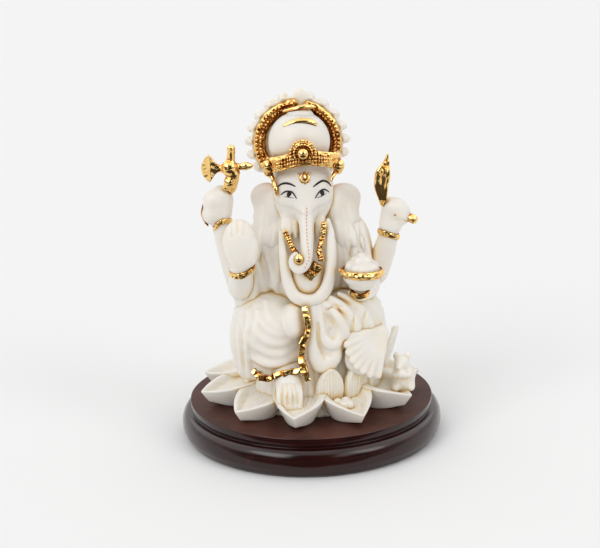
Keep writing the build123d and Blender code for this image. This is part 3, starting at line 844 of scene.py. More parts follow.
# ---- what the hands hold -------------------------------------------------------------------------
def make_axe():
    home, clay = begin("axe", 0.6)
    clay.ball(home(1, -0.6, 4.2), 3.05)
    clay.tube(home.line([(1.4, -0.2, 6.5), (1.7, -0.2, 8.9), (1.8, -0.2, 11.3)]), [1.6, 1.45, 1.5])
    clay.tube(home.line([(3.5, 0, 4.5), (5.7, 0, 4.6)]), [1.35, 1.1])
    clay.egg(home(6.9, 0, 4.7), (1.8, 1.5, 1.5))
    clay.ball(home(8.5, 0, 4.7), 0.9)
    clay.tube(home.line([(2.1, -0.2, 2.1), (1.9, 0, -0.3), (1.5, 0.4, -2.9), (1.3, 0.6, -4.7)]),
              [2.6, 2.3, 1.9, 1.0])
    clay.ball(home(0.9, -1.2, -0.9), 2.2)
    clay.ball(home(-0.5, -0.4, -2.9), 1.3)
    clay.tube(home.line([(-1.1, -0.2, 4), (-3.1, -0.2, 4.1)]), [1.5, 1.2])
    hub = home(-2.3, -0.2, 4.3)

    def blade(p):
        out, height = hub[0] - p[0], np.abs(p[2] - hub[2])
        flare = height - 1.0 - 0.42 * np.clip(out, 0, 9) ** 1.65
        outline = np.maximum(flare, np.hypot(out - 1.4, height) - 5.6)
        thick = np.where(out < 3.6, 0.55 + 0.22 * out, 1.34 - 0.34 * (out - 3.6))
        return -soft_min(-0.8 * np.maximum(outline, -out - 1.0), -(np.abs(p[1] - hub[1]) - thick), 0.15)

    clay.put("add", blade, hub - (7.6, 1.8, 6.0), hub + (1.4, 1.8, 6.0))
    clay.tube(home.line([(-9.3, 2.6, -10.1), (-9.7, 2.6, -13.1), (-8.9, 2.4, -16.1), (-7.9, 2, -17.7)]),
              [0.4, 0.7, 0.6, 0.3])
    roughen(clay, 0.9, 0.1)
    gilt("axe", clay)


def make_goad():
    home, clay = begin("goad", 0.6)
    clay.tube(home.line([(-5.3, 0.2, -5.3), (-5.4, -0.4, -2.5), (-6, -0.6, 1.3), (-5.8, -0.6, 5.3),
                (-4.4, -0.4, 8.9),
                (-3.6, -0.4, 11.3), (-3.3, -0.4, 12.9)]), [1.1, 1.7, 2.1, 2.3, 1.4, 0.8, 0.35])
    clay.tube(home.line([(-6.4, -1.4, -3.5), (-7.6, -1.8, 1.7), (-7, -2, 6.3), (-4.8, -1.4, 9.7)]),
              [0.5, 0.8, 0.9, 0.5], blend=0.4)
    clay.tube(home.line([(-4.3, -1.2, -3.7), (-4, -1.8, 1.1), (-3.3, -1.6, 5.7), (-3, -0.8, 10.3)]),
              [0.6, 0.8, 0.8, 0.5], blend=0.4)
    clay.tube(home.line([(-5.3, -3.6, -2.7), (-5.5, -3.8, 1.7), (-5, -3.6, 6.1), (-4, -2.4, 9.7)]),
              [0.9, 1.3, 1.2, 0.6], blend=0.5, how="cut")
    beads(clay, home.line([(-6.3, -1.8, 5.7), (-5.2, -1.8, 8.1), (-4.3, -1.4, 10.1)]), 0.7, 1.9)
    clay.tube(home.line([(3.2, 1.2, -10.7), (4.8, 0.8, -11.3), (5.8, 0.6, -11.6)]), [1.3, 1.6, 1.9])
    clay.ball(home(-0.9, -1.2, -9.5), 0.5)
    roughen(clay, 1.8, 0.2)
    gilt("goad", clay)


def make_bowl():
    home, clay = begin("bowl", 0.8)
    clay.egg(home(0.1, 0.4, 3.5), (7.2, 7.2, 5.6))
    clay.egg(home(0.1, 0.4, -1.3), (3.6, 3.6, 1.9), blend=1.2)
    clay.box(home(0.1, 0.4, 8.1), (9.0, 9.0, 3.6), blend=0.3, how="cut")
    resin("bowl", clay)


def make_bowl_rim():
    home, clay = begin("bowl_rim", 0.5)
    for lift, girth, reach in ((-0.9, 0.6, 6.9), (0.0, 0.75, 7.4), (0.9, 0.55, 7.3)):
        clay.ring(home(0.2, 0.4, -0.3) + (0, 0, lift), (0.03, 0.05, 1.0), reach, girth)
    clay.ball(home(7.3, 1.8, -1), 1.2)
    clay.tube(home.line([(-6.9, -1, 0.2), (-7.6, -0.4, 0.9)]), [0.9, 0.75])
    roughen(clay, 0.7, 0.2)
    gilt("bowl_rim", clay)


def make_bowl_sweets():
    home, clay = begin("bowl_sweets", 0.8)
    clay.egg(home(-0.1, 0.4, -0.8), (6.3, 6.3, 4.2))
    for ring_radius, count, height, size in ((4.4, 8, 0.6, 1.8), (2.3, 5, 2.6, 1.9), (0.0, 1, 4.0, 1.7)):
        for index in range(count):
            turn = 2 * math.pi * (index + 0.3) / count
            shift = (ring_radius * math.cos(turn), ring_radius * math.sin(turn), 0.3 * math.sin(5 * index))
            clay.ball(home(-0.1, 0.4, height) + shift, size)
    resin("bowl_sweets", clay)


# ---- gilt crown, aura and trim -------------------------------------------------------------------
def evenly(points, spacing):
    """Places every spacing millimetres along a smooth curve through the points."""
    line, _ = curve_through(points, [1.0] * len(points), 12)
    gone = np.concatenate([[0], np.cumsum(np.linalg.norm(np.diff(line, axis=0), axis=1))])
    at = np.linspace(0, gone[-1], max(2, int(round(gone[-1] / spacing)) + 1))
    return np.column_stack([np.interp(at, gone, line[:, i]) for i in range(3)])


def beads(clay, points, radius, spacing):
    """A row of beads whose sizes vary a little, as in a casting."""
    for number, place in enumerate(evenly(points, spacing)):
        clay.ball(place, radius * (1 + 0.12 * math.sin(2.4 * number)), blend=0.12)


def arc(centre, radius, start, end, count=13):
    """Points on an upright arc that faces the front. 0 degrees is towards +X and 90 is up."""
    turns = np.radians(np.linspace(start, end, count))
    return [centre + (radius * math.cos(t), 0.0, radius * math.sin(t)) for t in turns]


def make_aura_plate():
    home, clay = begin("aura_plate", 0.9)
    centre = home(0, 0.1, -2.2)
    clay.disc(centre, (0, 1, 0), 17.0, 1.4, blend=0.5)
    for step in range(-7, 8):
        if step:
            turn = math.radians(90 + step * 17.5)
            knob = centre + (17.2 * math.cos(turn), 0.0, 17.2 * math.sin(turn))
            clay.egg(knob, (1.8, 1.3, 2.5), turn=(0, step * 17.5, 0), blend=0.7)
            clay.ball(knob + (0, -1.2, 0), 0.8, blend=0.5)
    clay.tube(home.line([(1.4, -0.1, 11.5), (1.4, -0.2, 14.4), (1.4, -0.2, 16.2)]), [3.0, 2.7, 1.9],
              flat=((0, 1, 0), 0.6))
    resin("aura_plate", clay)


def make_aura_ring():
    home, clay = begin("aura_ring", 0.35)
    centre = home(0, -0.1, -1)
    for start, end, tip in ((97.0, 214.0, 0.8), (75.0, -34.0, -0.6)):
        for radius, girth in ((15.4, 0.75), (14.1, 1.15), (12.5, 0.72)):
            clay.tube(arc(centre, radius, start, end), girth)
        clay.tube(arc(centre + (0, -0.35, 0), 12.55, start, end), 0.5)
        for radius, size, gap in ((15.0, 0.6, 1.5), (13.6, 0.62, 1.35)):
            beads(clay, arc(centre + (0, -0.95, 0), radius, start, end), size, gap)
        clay.tube(arc(centre + (0, 0, tip), 14.2, start, start + 2.0 * np.sign(end - start), 3), 1.7,
                  flat=((0, 1, 0), 0.5))
    roughen(clay, 1.0, 0.26)
    gilt("aura_ring", clay)


def make_crown_dome():
    home, clay = begin("crown_dome", 1.2)
    clay.egg(home(0, 3, -0.8), (11.3, 10.8, 11.0))
    resin("crown_dome", clay, BODY_STEP)


def make_crown_knob():
    home, clay = begin("crown_knob", 1.2)
    clay.egg(home(0, 0.4, -3.7), (5.7, 5.3, 5.2))
    resin("crown_knob", clay)


def make_crown_rings():
    home, clay = begin("crown_rings", 0.4)
    clay.tube(home.line([(-6.6, -3.7, -6.4), (-5.2, -4.2, -4.5), (-1.5, -4.2, -3.3), (2.1, -4.1, -3.1),
                (4.8, -3.8, -3.9), (5.8, -3.5, -5.8)]), [0.45, 1.05, 1.45, 1.45, 1.2, 0.5], steps=6)
    clay.tube(home.line([(-5.7, 2.7, -0.3), (-1.9, 0.3, 0.7), (1.7, 0.1, 1.5), (4.9, 1.3, 1.3)]),
              [0.6, 1.0, 1.0, 0.7], steps=6)
    gilt("crown_rings", clay)


def make_crown_band():
    home, clay = begin("crown_band", 0.3)
    path = home.line([(-12, -1.2, -1.7), (-10.9, -4.8, -1.3), (-8.1, -7.9, -0.4), (-3.1, -9.8, 1.3),
             (0.1, -10.2, 1.9), (3.9, -9.8, 1.7), (8.4, -7.6, 0.7), (11.3, -4.6, -0.1),
             (12.5, -1.2, -0.5)])
    inward = [p + (0.0, 1.0, 0.0) for p in path]
    clay.tube([p + (0, 0, 1.0) for p in inward], 1.6)
    clay.tube([p + (0, 0, -1.0) for p in inward], 1.6)
    clay.tube([p + (0, -0.1, -2.3) for p in path], 0.5)
    clay.tube([p + (0, 0.1, 2.3) for p in path], 0.42)
    for lift, size in ((1.5, 0.6), (0.3, 0.66), (-0.9, 0.62)):
        beads(clay, [p + (0, -0.45, lift) for p in path], size, 1.15)
    roughen(clay, 0.8, 0.2)
    gilt("crown_band", clay)


def make_crown_medallion():
    home, clay = begin("crown_medallion", 0.3)
    front = home(0, -0.8, 0.5)
    clay.disc(front + (0, 1.2, 0), (0, 1, 0.14), 4.3, 1.5)
    beads(clay, arc(front, 4.35, 0, 360, 25), 0.62, 1.15)
    beads(clay, arc(front + (0, -0.5, 0), 3.1, 0, 360, 19), 0.58, 1.05)
    clay.ring(front + (0, -0.5, 0), (0, 1, 0), 2.2, 0.35)
    clay.ball(front + (0, -1.3, 0), 2.05, blend=0.15)
    gilt("crown_medallion", clay)


def make_crown_side_ornaments():
    home, clay = begin("crown_side_ornaments", 0.5)
    clay.ball(home(-12.4, -2.4, 0.9), 2.5)
    clay.egg(home(-12.6, -1.6, -2.1), (1.7, 1.5, 1.3), turn=(0, 20, 0))
    clay.tube(home.line([(-11.4, -2.4, -2.9), (-10.6, -3.8, -5.7), (-10.1, -4.6, -7.7), (-9.9, -5, -9.1)]),
              [0.8, 0.75, 0.8, 0.55])
    clay.ball(home(12.8, -1.8, 0.3), 2.3)
    clay.egg(home(12.8, -1.6, -1.5), (1.7, 1.5, 1.5), turn=(0, -20, 0))
    clay.tube(home.line([(11.7, -2.4, -1.9), (10.7, -3.8, -3.3), (10.2, -4.6, -4.7)]), [0.8, 0.7, 0.4])
    roughen(clay, 0.8, 0.08)
    gilt("crown_side_ornaments", clay)


def make_tilak(head):
    home, clay = begin("tilak", 0.3)
    clay.tube(pressed(head, home.line([(0, -0.8, 2.3), (0.1, -0.8, 0.3), (0.1, -0.8, -1.7)]), 0.1),
              [0.6, 0.65, 0.4])
    for side in (-1, 1):
        curl = [home(side * 0.3, 0, -1.5), home(side * 1.1, 0, -1.2), home(side * 1.5, 0, 0.2),
                home(side * 1.3, 0, 1.6), home(side * 2.1, 0, 1.9)]
        clay.tube(pressed(head, curl, 0.1), [0.35, 0.5, 0.5, 0.45, 0.3])
    gilt("tilak", clay)


def make_necklace():
    home, clay = begin("necklace", 0.4)
    strands = (home.line([(-6.8, -0.6, 2.9), (-5.5, -1.4, 0.1), (-4.3, -2.2, -2.5), (-3.1, -3.2, -4.3)]),
               home.line([(7.2, 0.6, 5.5), (6.9, -0.2, 2.1), (6, -1.2, -1.1), (5.3, -2.4, -4.1),
                          (5.9, -3.4, -6.7)]))
    for strand in strands:
        clay.tube(strand, 0.8)
        for side in (-0.5, 0.5):
            beads(clay, [p + (side, -0.4, 0.3 * side) for p in strand], 0.55, 0.95)
    roughen(clay, 0.4, 0.22)
    gilt("necklace", clay)


def make_pendant():
    home, clay = begin("pendant", 0.4)
    clay.box(home(1, -0.4, 0.7), (1.9, 1.3, 1.7), turn=(12, 40, 8), corner=0.25)
    clay.box(home(-1, -0.4, -1), (2.0, 1.2, 2.0), turn=(-16, 46, -10), corner=0.25)
    for index in range(4):
        shift = 0.95 * index
        middle = home(0.3, -1.5, -2.3) + (-0.8 * shift, 0, 0.55 * shift)
        clay.box(middle, (0.3, 0.5, 1.5), turn=(0, 40, 0), corner=0.15)
    clay.box(home(1.6, -1.4, 1.5), (0.9, 0.7, 0.9), turn=(20, 30, 20), corner=0.2)
    roughen(clay, 0.5, 0.14)
    gilt("pendant", clay)


def make_trunk_sweet():
    home, clay = begin("trunk_sweet", 0.4)
    clay.ball(home(0, -0.3, -0.2), 1.8)
    clay.ball(home(-0.1, -0.7, 1.3), 0.7)
    gilt("trunk_sweet", clay)


def slab(clay, start, end, face, half_width, half_thick=0.8):
    """One flat facet of a ribbon, from start to end, that faces the way face points."""
    length = np.linalg.norm(end - start)
    out = np.array(face) / np.linalg.norm(face)
    along = end - start - out * np.dot(out, end - start)
    along = along / np.linalg.norm(along)
    axes = np.array([np.cross(along, out), along, out])
    middle = (start + end) / 2
    corner = 0.15
    half = np.array([half_width, length / 2 + 0.5, half_thick])

    def measure(p):
        past = np.abs(np.dot(axes, p - middle[:, None])) - (half - corner)[:, None]
        return np.sqrt((np.maximum(past, 0) ** 2).sum(0)) + np.minimum(past.max(0), 0) - corner

    reach = np.linalg.norm(half)
    clay.put("add", measure, middle - reach, middle + reach, 0.4)


def make_hem():
    home, clay = begin("dhoti_hem", 0.5)
    edge = home.line([(9.4, 0.1, 13.3), (10.1, -1.5, 9.3), (10.4, -2.1, 5.9), (9.5, -2.1, 3.1),
             (8.4, -2, 0.7), (7.7, -2, -2.7), (7.5, -2, -5.1), (8.2, -1.9, -8.5),
             (9.5, -1.7, -11.7), (9.7, -1.5, -13.7)])
    cuff = home.line([(-10, 2.9, -11.5), (-8.4, 1.5, -13.1), (-5.8, 0.3, -13.7), (-3.7, -0.5, -13.3),
             (-1.3, -1.1, -11.7), (2, -1.7, -10.9), (5.2, -1.9, -10.3), (7.6, -1.9, -10.1)])
    faces = ((-0.25, -0.9, 0.3), (0.12, -0.97, 0.2), (0.3, -0.9, 0.3), (-0.15, -0.9, 0.42), (0.2, -0.95, 0.1),
             (-0.3, -0.9, 0.4))
    facet_length, width = 3.4, 1.1
    for points in (edge, cuff):
        line = evenly(points, facet_length) + (0.0, -0.45, 0.1)
        for number, (start, end) in enumerate(zip(line[:-1], line[1:])):
            half_width = width * (1 + 0.12 * math.sin(2.3 * number))
            slab(clay, start, end, faces[number % len(faces)], half_width)
    roughen(clay, 0.9, 0.2)
    gilt("dhoti_hem", clay)


def hoop(centre, reach, slope, lean=(0.0, 0.0)):
    """A closed line round a wrist that leans by lean; slope is how fast the line rises towards +X and +Y."""
    line = []
    for turn in np.linspace(0, 2 * math.pi, 19):
        x, y = reach * math.cos(turn), reach * math.sin(turn)
        rise = slope[0] * x + slope[1] * y
        line.append(np.array(centre) + (x + lean[0] * rise, y + lean[1] * rise, rise))
    return line


def make_bangles():
    bangles = (
        ("right_rear_bangle", (-0.8, -1.3, 0.9), 3.45, (0.42, -0.62), (-0.2, -0.15), 0.62),
        ("left_rear_bangle", (0.2, -1.1, 1.6), 3.75, (-0.3, -0.14), (0.15, -0.15), 0.62),
        ("right_front_bangle", (-1.1, -1.0, 0.3), 4.3, (0.3, 0.45), (0.0, -0.4), 0.56),
        ("left_front_bangle", (-1.3, -4.6, -1.0), 3.0, (0.0, 0.35), (0.0, 0.0), 0.62),
    )
    for name, offset, reach, slope, lean, girth in bangles:
        centre = Spot(name)(*offset)
        clay = Clay(0.4)
        for lift, share in ((-0.65, 0.8), (0.0, 1.0), (0.65, 0.8)):
            clay.tube(hoop(centre + (0, 0, lift), reach, slope, lean), share * girth, steps=2)
        roughen(clay, 0.7, 0.18)
        gilt(name, clay)


# ---- lotus ---------------------------------------------------------------------------------------
def out_and_side(p, azimuth, middle):
    """Distance outwards along the azimuth, from -Y towards +X in degrees, and sideways from it."""
    turn = math.radians(azimuth)
    x, y = p[0] - middle[0], p[1] - middle[1]
    return x * math.sin(turn) - y * math.cos(turn), x * math.cos(turn) + y * math.sin(turn)


def smooth_step(t):
    t = np.clip(t, 0, 1)
    return t * t * (3 - 2 * t)


def outer_petal(azimuth, middle, tread, seed, raised):
    """A boat-shaped petal: flaring walls that meet in a keel at the tip, and a ribbed hollow above."""
    middle_out, half_length, half_width = 29.0, 15.2, 8.8
    tip_height, fall, hollow, narrowing = 5.6 + raised + 0.4 * math.sin(seed * 2.1), 0.27, 2.8, 0.5
    power = 1.75

    def measure(p):
        out, side = out_and_side(p, azimuth + 1.5 * math.sin(seed * 3.7), middle)
        height = p[2] - tread
        along = np.clip((out - middle_out) / half_length, -1.3, 1.3)
        far = np.abs(along)
        half = half_width * (1 - far**power)
        steep = half_width * power * far ** (power - 1) / half_length
        plan = (np.abs(side) - half) / np.sqrt(1 + steep * steep)
        rim = tip_height + fall * np.clip(middle_out + half_length - out, 0, 21)
        rim = rim + 0.3 * np.sin(0.35 * side + seed)
        wall = (plan + narrowing * (tip_height + 1.5 - height)) * 0.89
        inward = np.maximum(-plan - 1.0, 0)
        ribs = 0.12 * np.cos(2 * math.pi * side / (1.7 - 0.3 * along)) * smooth_step(inward)
        top = rim - hollow * smooth_step(inward / 2.6) + ribs
        keel = 0.2 + 1.2 * smooth_step((out - 32) / 9)
        d = -soft_min(-wall, -(height - top) * 0.95, 0.55)
        return -soft_min(-d, height - keel, 0.4)

    return measure


def inner_petal(azimuth, middle, low, tall, lean, point, twist):
    """An upright ribbed leaf with a raised edge and midrib, curling outwards."""
    half_width = 5.4

    def measure(p):
        out, side = out_and_side(p, azimuth, middle)
        share = (p[2] - low) / tall
        sheet = CORE_FOOT + lean * share + 0.9 * np.sin(math.pi * np.clip(share, 0, 1))
        sheet = sheet - 0.05 * side**2 + twist * side
        width = half_width * np.clip(1 - np.clip(share * 1.7 - 0.7, -1, 1) ** 2, 0, 1) ** point + 1e-3
        outline = (np.abs(side) - width) * 0.8
        outline = np.maximum(outline, (p[2] - low - tall) * 0.9)
        edge = smooth_step(1 - np.abs(outline + 0.7) / 0.6)
        relief = 0.12 * np.cos(2 * math.pi * side / 1.15) * (1 - edge) + 0.3 * edge
        relief = relief + 0.3 * smooth_step(1 - np.abs(side) / 0.5)
        slab = np.abs(out - sheet) - 1.0 - relief
        return -soft_min(-slab * 0.8, -outline, 0.8)

    return measure


CORE_FOOT = 26.4     # the radius of the core's foot, where the inner petals stand


def make_outer_petals():
    plinth = Spot("plinth")
    tread = plinth.high[2]
    azimuths = (-8, -42, -74, -106, -138, -168, 160, 130, 98, 62, 26)
    for number, azimuth in enumerate(azimuths, start=1):
        name = f"outer_petal_{number:02d}"
        box = Spot(name)
        clay = Clay(0.5)
        reach = (6.0, 6.0, 4.0)
        raised = 3.0 if number in (7, 8) else 0.0
        measure = outer_petal(azimuth, plinth.middle, tread, number, raised)
        clay.put("add", measure, box.low - reach, box.high + reach)
        resin(name, clay)


def make_inner_petals():
    plinth = Spot("plinth")
    azimuths = (15, 38, 62, 100, 140, 180, 220)
    for number, azimuth in enumerate(azimuths, start=1):
        name = f"inner_petal_{number:02d}"
        box = Spot(name)
        tall = box.high[2] - box.low[2] + (2.4 if number == 4 else 0.8)
        lean, point = (7.5, 1.1) if number > 3 else (1.6, 0.62)
        twist = 0.4 if number == 4 else 0.0
        clay = Clay(0.5)
        reach = (3.0, 3.0, 2.0)
        base = box.low[2] - 1.0
        measure = inner_petal(azimuth, plinth.middle, base, tall, lean, point, twist)
        clay.put("add", measure, box.low - reach, box.high + reach)
        resin(name, clay)


def make_lotus_core():
    """A ribbed drum that narrows upwards."""
    box, clay = begin("lotus_core", 0.5)
    tall = box.high[2] - box.low[2]

    def core(p):
        x, y = p[0] - box.middle[0], p[1] - box.middle[1]
        radius = np.sqrt(x * x + y * y)
        share = np.clip((p[2] - box.low[2]) / tall, 0, 1)
        rib = 0.45 * np.abs(np.cos(24 * np.arctan2(y, x))) * smooth_step((1 - share) * 6)
        side = radius - (CORE_FOOT - 6.4 * share**2.2) - rib
        top = np.abs(p[2] - box.middle[2]) - tall / 2
        return -soft_min(-side, -top, 1.0)

    clay.put("add", core, box.low, box.high)
    resin("lotus_core", clay, BODY_STEP)


def make_mouse():
    home, clay = begin("mouse", 1.2)
    clay.egg(home(-0.4, 0.6, -3), (4.2, 4.4, 5.0))
    clay.egg(home(-0.8, -0.8, 1.6), (3.0, 3.2, 3.6))
    clay.egg(home(-1.4, -1.8, 4.6), (2.7, 3.0, 2.5))
    clay.egg(home(-2.4, -4.2, 3.6), (1.3, 1.8, 1.2), blend=1.0)
    for x in (-3.0, 1.0):
        clay.egg(home(x, -0.4, 6.4), (1.4, 0.9, 1.5), blend=0.6)
    clay.tube(home.line([(-3, -1.4, 1.8), (-3.8, -3.8, 0.4), (-2.4, -5, 0.8)]), [1.2, 1.1, 1.0])
    clay.tube(home.line([(1.6, -1.4, 1.4), (1.2, -3.8, 0), (-0.6, -5, 0.6)]), [1.2, 1.1, 1.0])
    clay.ball(home(-1.5, -5.2, 1), 1.4)
    for x in (-3.6, 2.0):
        clay.egg(home(x, -1.8, -5.2), (1.6, 3.0, 1.7))
    clay.tube(home.line([(0.6, 3.6, -4.8), (3.2, 4.6, -4), (3.8, 2.8, -1.4)]), [1.1, 0.9, 0.7])
    resin("mouse", clay)


def make_petal_offering():
    home, clay = begin("petal_offering", 0.5)
    for place in home.line([(-1.8, 1, -0.1), (1.2, 1.8, 0.1), (0.2, -1, -0.3), (2.4, 0, -0.5)]):
        clay.ball(place, 1.75)
    resin("petal_offering", clay)


# ---- paint ---------------------------------------------------------------------------------------
def painted(head, points, width, sink=0.02):
    """A brush stroke on the head: a thin flat tube that stands barely proud of the surface."""
    line = pressed(head, curve_through(points, [1.0] * len(points), 3)[0], sink)
    clay = Clay(0.1)
    girth = width * np.sin(math.pi * np.linspace(0.12, 0.88, len(line))) ** 0.6
    clay.tube(line, girth, steps=2, flat=(-LOOK, 0.45))
    return clay


def make_eyes(head):
    home = Spot("head")
    strokes = (
        ("right_upper_lid", [(-7.9, -15, 0.3), (-7, -15, 1), (-5.7, -15, 1.5), (-4, -15, 1.2),
                              (-3, -15, 0), (-2.3, -15, -1.4)], 0.34),
        ("right_lower_lid", [(-7, -15, -0.4), (-5.2, -15, -0.8), (-2.9, -15, -1.2)], 0.15),
        ("right_brow", [(-8.9, -15, 3.4), (-7.8, -15, 4.2), (-6.2, -15, 4.5), (-4.4, -15, 4.1),
                         (-2.7, -15, 3.2)], 0.42),
        ("left_upper_lid", [(4.4, -15, -1.4), (5.4, -15, 0.2), (6.6, -15, 1.5), (8.1, -15, 1.8),
                             (9.5, -15, 0.9)], 0.34),
        ("left_lower_lid", [(4.7, -15, -1.4), (6.7, -15, -0.7), (8.7, -15, 0.5)], 0.16),
        ("left_brow", [(3.9, -15, 2.9), (5.6, -15, 4.2), (7.4, -15, 5.1), (9, -15, 4.6),
                        (10.3, -15, 3.2)], 0.42),
    )
    for name, points, width in strokes:
        paint(name, painted(head, home.line(points), width))
    for name, place in (("right_iris", home(-4.7, -15, 0.2)), ("left_iris", home(6.7, -15, 0.5))):
        clay = Clay(0.1)
        clay.egg(pressed(head, [place], 0.16)[0], (1.15, 0.3, 1.25))
        paint(name, clay)


def make_trunk_line(head):
    home = Spot("trunk")
    middle = home.line([(1.1, -10.2, 11.6), (0.9, -10.2, 5.8), (1, -10.2, -0.6), (1.4, -10.2, -7.2),
                        (-0.1, -10.2, -10.4)])
    line = pressed(head, evenly(middle, 1.3), 0.16)
    clay = Clay(0.05)
    for place in line:
        clay.egg(place, (0.22, 0.26, 0.55))
    paint("trunk_line", clay, "red_paint")


# ---- plinth --------------------------------------------------------------------------------------
def make_plinth():
    """A turned plinth: foot, half-round moulding, quirk and raised tread, with small dings in its edges."""
    box = Spot("plinth")
    tread = box.high[2]
    foot = box.low[2]
    edge = 46.0          # radius of the tread, where the moulding's half-round starts too
    round_over = 0.55    # height of the tread's rounded edge
    swell = 3.9          # how far the moulding stands out past the tread
    profile = [(0.0, tread), (20.0, tread), (40.0, tread), (edge - 0.7, tread)]
    profile += [(edge + 0.5 * math.sin(t), tread - round_over + round_over * math.cos(t))
                for t in np.linspace(0.1, 1.5, 7)]
    profile += [(46.5, tread - 2.0), (46.4, tread - 3.0), (46.0, tread - 3.5), (45.7, tread - 3.9),
                (45.9, tread - 4.1)]
    middle_height, bulge = (tread - 4.0 + foot) * 0.5, (tread - 4.0 - foot) * 0.5
    profile += [(edge + swell * math.cos(t) ** 0.7, middle_height + bulge * math.sin(t))
                for t in np.linspace(1.45, -0.4, 22)]
    profile += [(49.0, foot + 2.0), (48.5, foot + 0.8), (48.1, foot + 0.2), (47.4, foot), (42.0, foot),
                (42.0, foot + 1.2), (0.0, foot + 1.2)]
    profile = np.array(profile)
    turns = np.linspace(0, 2 * math.pi, 320, endpoint=False)
    radius, height = profile[:, 0][:, None], profile[:, 1][:, None]
    wobble = 0.05 * np.sin(3 * turns + 0.4) + 0.03 * np.sin(7 * turns) + 0.02 * np.sin(17 * turns + height)
    reach = radius * (1 + 0.02 * wobble / 10) + np.where(radius > 40, wobble, 0)
    x = box.middle[0] + reach * np.cos(turns)
    y = box.middle[1] + reach * np.sin(turns)
    z = height + 0.02 * np.sin(5 * turns) * (radius > 40)
    points = np.stack([x, y, np.broadcast_to(z, x.shape)]).reshape(3, -1).astype(np.float32)
    rows, columns = len(profile), len(turns)
    row, column_number = np.meshgrid(np.arange(rows - 1), np.arange(columns), indexing="ij")
    beside = (column_number + 1) % columns
    faces = np.stack([row * columns + column_number, (row + 1) * columns + column_number,
                      (row + 1) * columns + beside, row * columns + beside], -1).reshape(-1, 4)
    show("plinth", mesh_from("plinth", points, faces), "lacquer", ["plinth"])


def make_hidden_parts():
    """The felt and the screws keep their CAD meshes and only take a finish."""
    for node, material in (("felt_pad", "felt"), ("fixing_screws", "steel")):
        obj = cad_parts[node]
        obj.data.materials.clear()
        obj.data.materials.append(materials[material])


# ---- materials -----------------------------------------------------------------------------------
materials = {}


class Nodes:
    """Short ways to add nodes to a tree and to feed their sockets."""

    def __init__(self, tree):
        self.tree = tree

    def node(self, kind, inputs=None, **settings):
        made = self.tree.nodes.new(kind)
        for key, value in settings.items():
            setattr(made, key, value)
        for key, value in (inputs or {}).items():
            self.feed(made.inputs[key], value)
        return made

    def feed(self, socket, value):
        if isinstance(value, bpy.types.NodeSocket):
            self.tree.links.new(value, socket)
        else:
            socket.default_value = value

    def maths(self, operation, a, b=0.0):
        made = self.node("ShaderNodeMath", operation=operation)
        self.feed(made.inputs[0], a)
        self.feed(made.inputs[1], b)
        return made.outputs[0]

    def range(self, value, low, high, to_low, to_high):
        made = self.node("ShaderNodeMapRange", {"Value": value, "From Min": low, "From Max": high,
                                                "To Min": to_low, "To Max": to_high})
        return made.outputs["Result"]


class Finish(Nodes):
    """A Principled material."""

    def __init__(self, name, **values):
        self.material = bpy.data.materials.new(name)
        self.material.use_nodes = True
        super().__init__(self.material.node_tree)
        self.shader = self.tree.nodes["Principled BSDF"]
        for key, value in values.items():
            self.shader.inputs[key.replace("_", " ")].default_value = value
        materials[name] = self.material

    def place(self):
        return self.node("ShaderNodeTexCoord").outputs["Object"]

    def noise(self, scale, detail=3.0, at=None):
        made = self.node("ShaderNodeTexNoise", {"Scale": scale, "Detail": detail,
                                                "Vector": at or self.place()})
        return made.outputs["Fac"]

    def ramp(self, value, stops):
        made = self.node("ShaderNodeValToRGB", {"Fac": value})
        elements = made.color_ramp.elements
        elements[0].position, elements[1].position = stops[0][0], stops[-1][0]
        elements[0].color, elements[1].color = (*stops[0][1], 1), (*stops[-1][1], 1)
        for position, colour in stops[1:-1]:
            elements.new(position).color = (*colour, 1)
        return made.outputs["Color"]

    def mix(self, share, first, colour):
        """The first colour, mixed with a fixed one."""
        made = self.node("ShaderNodeMix", data_type="RGBA")
        for index, value in ((0, share), (6, first), (7, (*colour, 1))):
            self.feed(made.inputs[index], value)
        return made.outputs[2]

    def base(self, colour):
        self.feed(self.shader.inputs["Base Color"], colour)

    def crease_shade(self):
        # The crease depth, which the materials paint shade from.
        made = self.node("ShaderNodeAttribute", attribute_name="crease_shade")
        return made.outputs["Fac"]

    def bump(self, height, strength, distance):
        made = self.node("ShaderNodeBump", {"Height": height, "Strength": strength, "Distance": distance})
        self.feed(self.shader.inputs["Normal"], made.outputs["Normal"])


def resin_finish(name):
    """Bonded marble powder: pale and slightly see-through, with a faint mottle of its own. Cream and brown is
    painted into the deep folds as shade.
    """
    finish = Finish(name, Roughness=0.42, Subsurface_Weight=0.6, Subsurface_Scale=0.0026, IOR=1.48)
    finish.shader.inputs["Subsurface Radius"].default_value = (1.0, 0.92, 0.8)
    mottle = finish.noise(170.0)
    # painted shade: the crease depth takes the colour from pale towards cream and brown in folds; the mottle
    # noise is the resin's own uneven tone
    depth = finish.maths("ADD", finish.crease_shade(), finish.range(mottle, 0.35, 0.7, -0.06, 0.1))
    colour = finish.ramp(depth, [
        (0.0, (0.825, 0.79, 0.735)), (0.22, (0.835, 0.775, 0.665)), (0.5, (0.84, 0.72, 0.50)),
        (0.9, (0.76, 0.56, 0.30))])
    finish.feed(finish.shader.inputs["Roughness"], finish.range(finish.noise(420.0), 0.3, 0.7, 0.36, 0.52))
    finish.bump(finish.noise(1500.0, 2.0), 0.12, 0.0002)
    return finish, colour


def make_resin():
    finish, colour = resin_finish("resin")
    finish.base(colour)


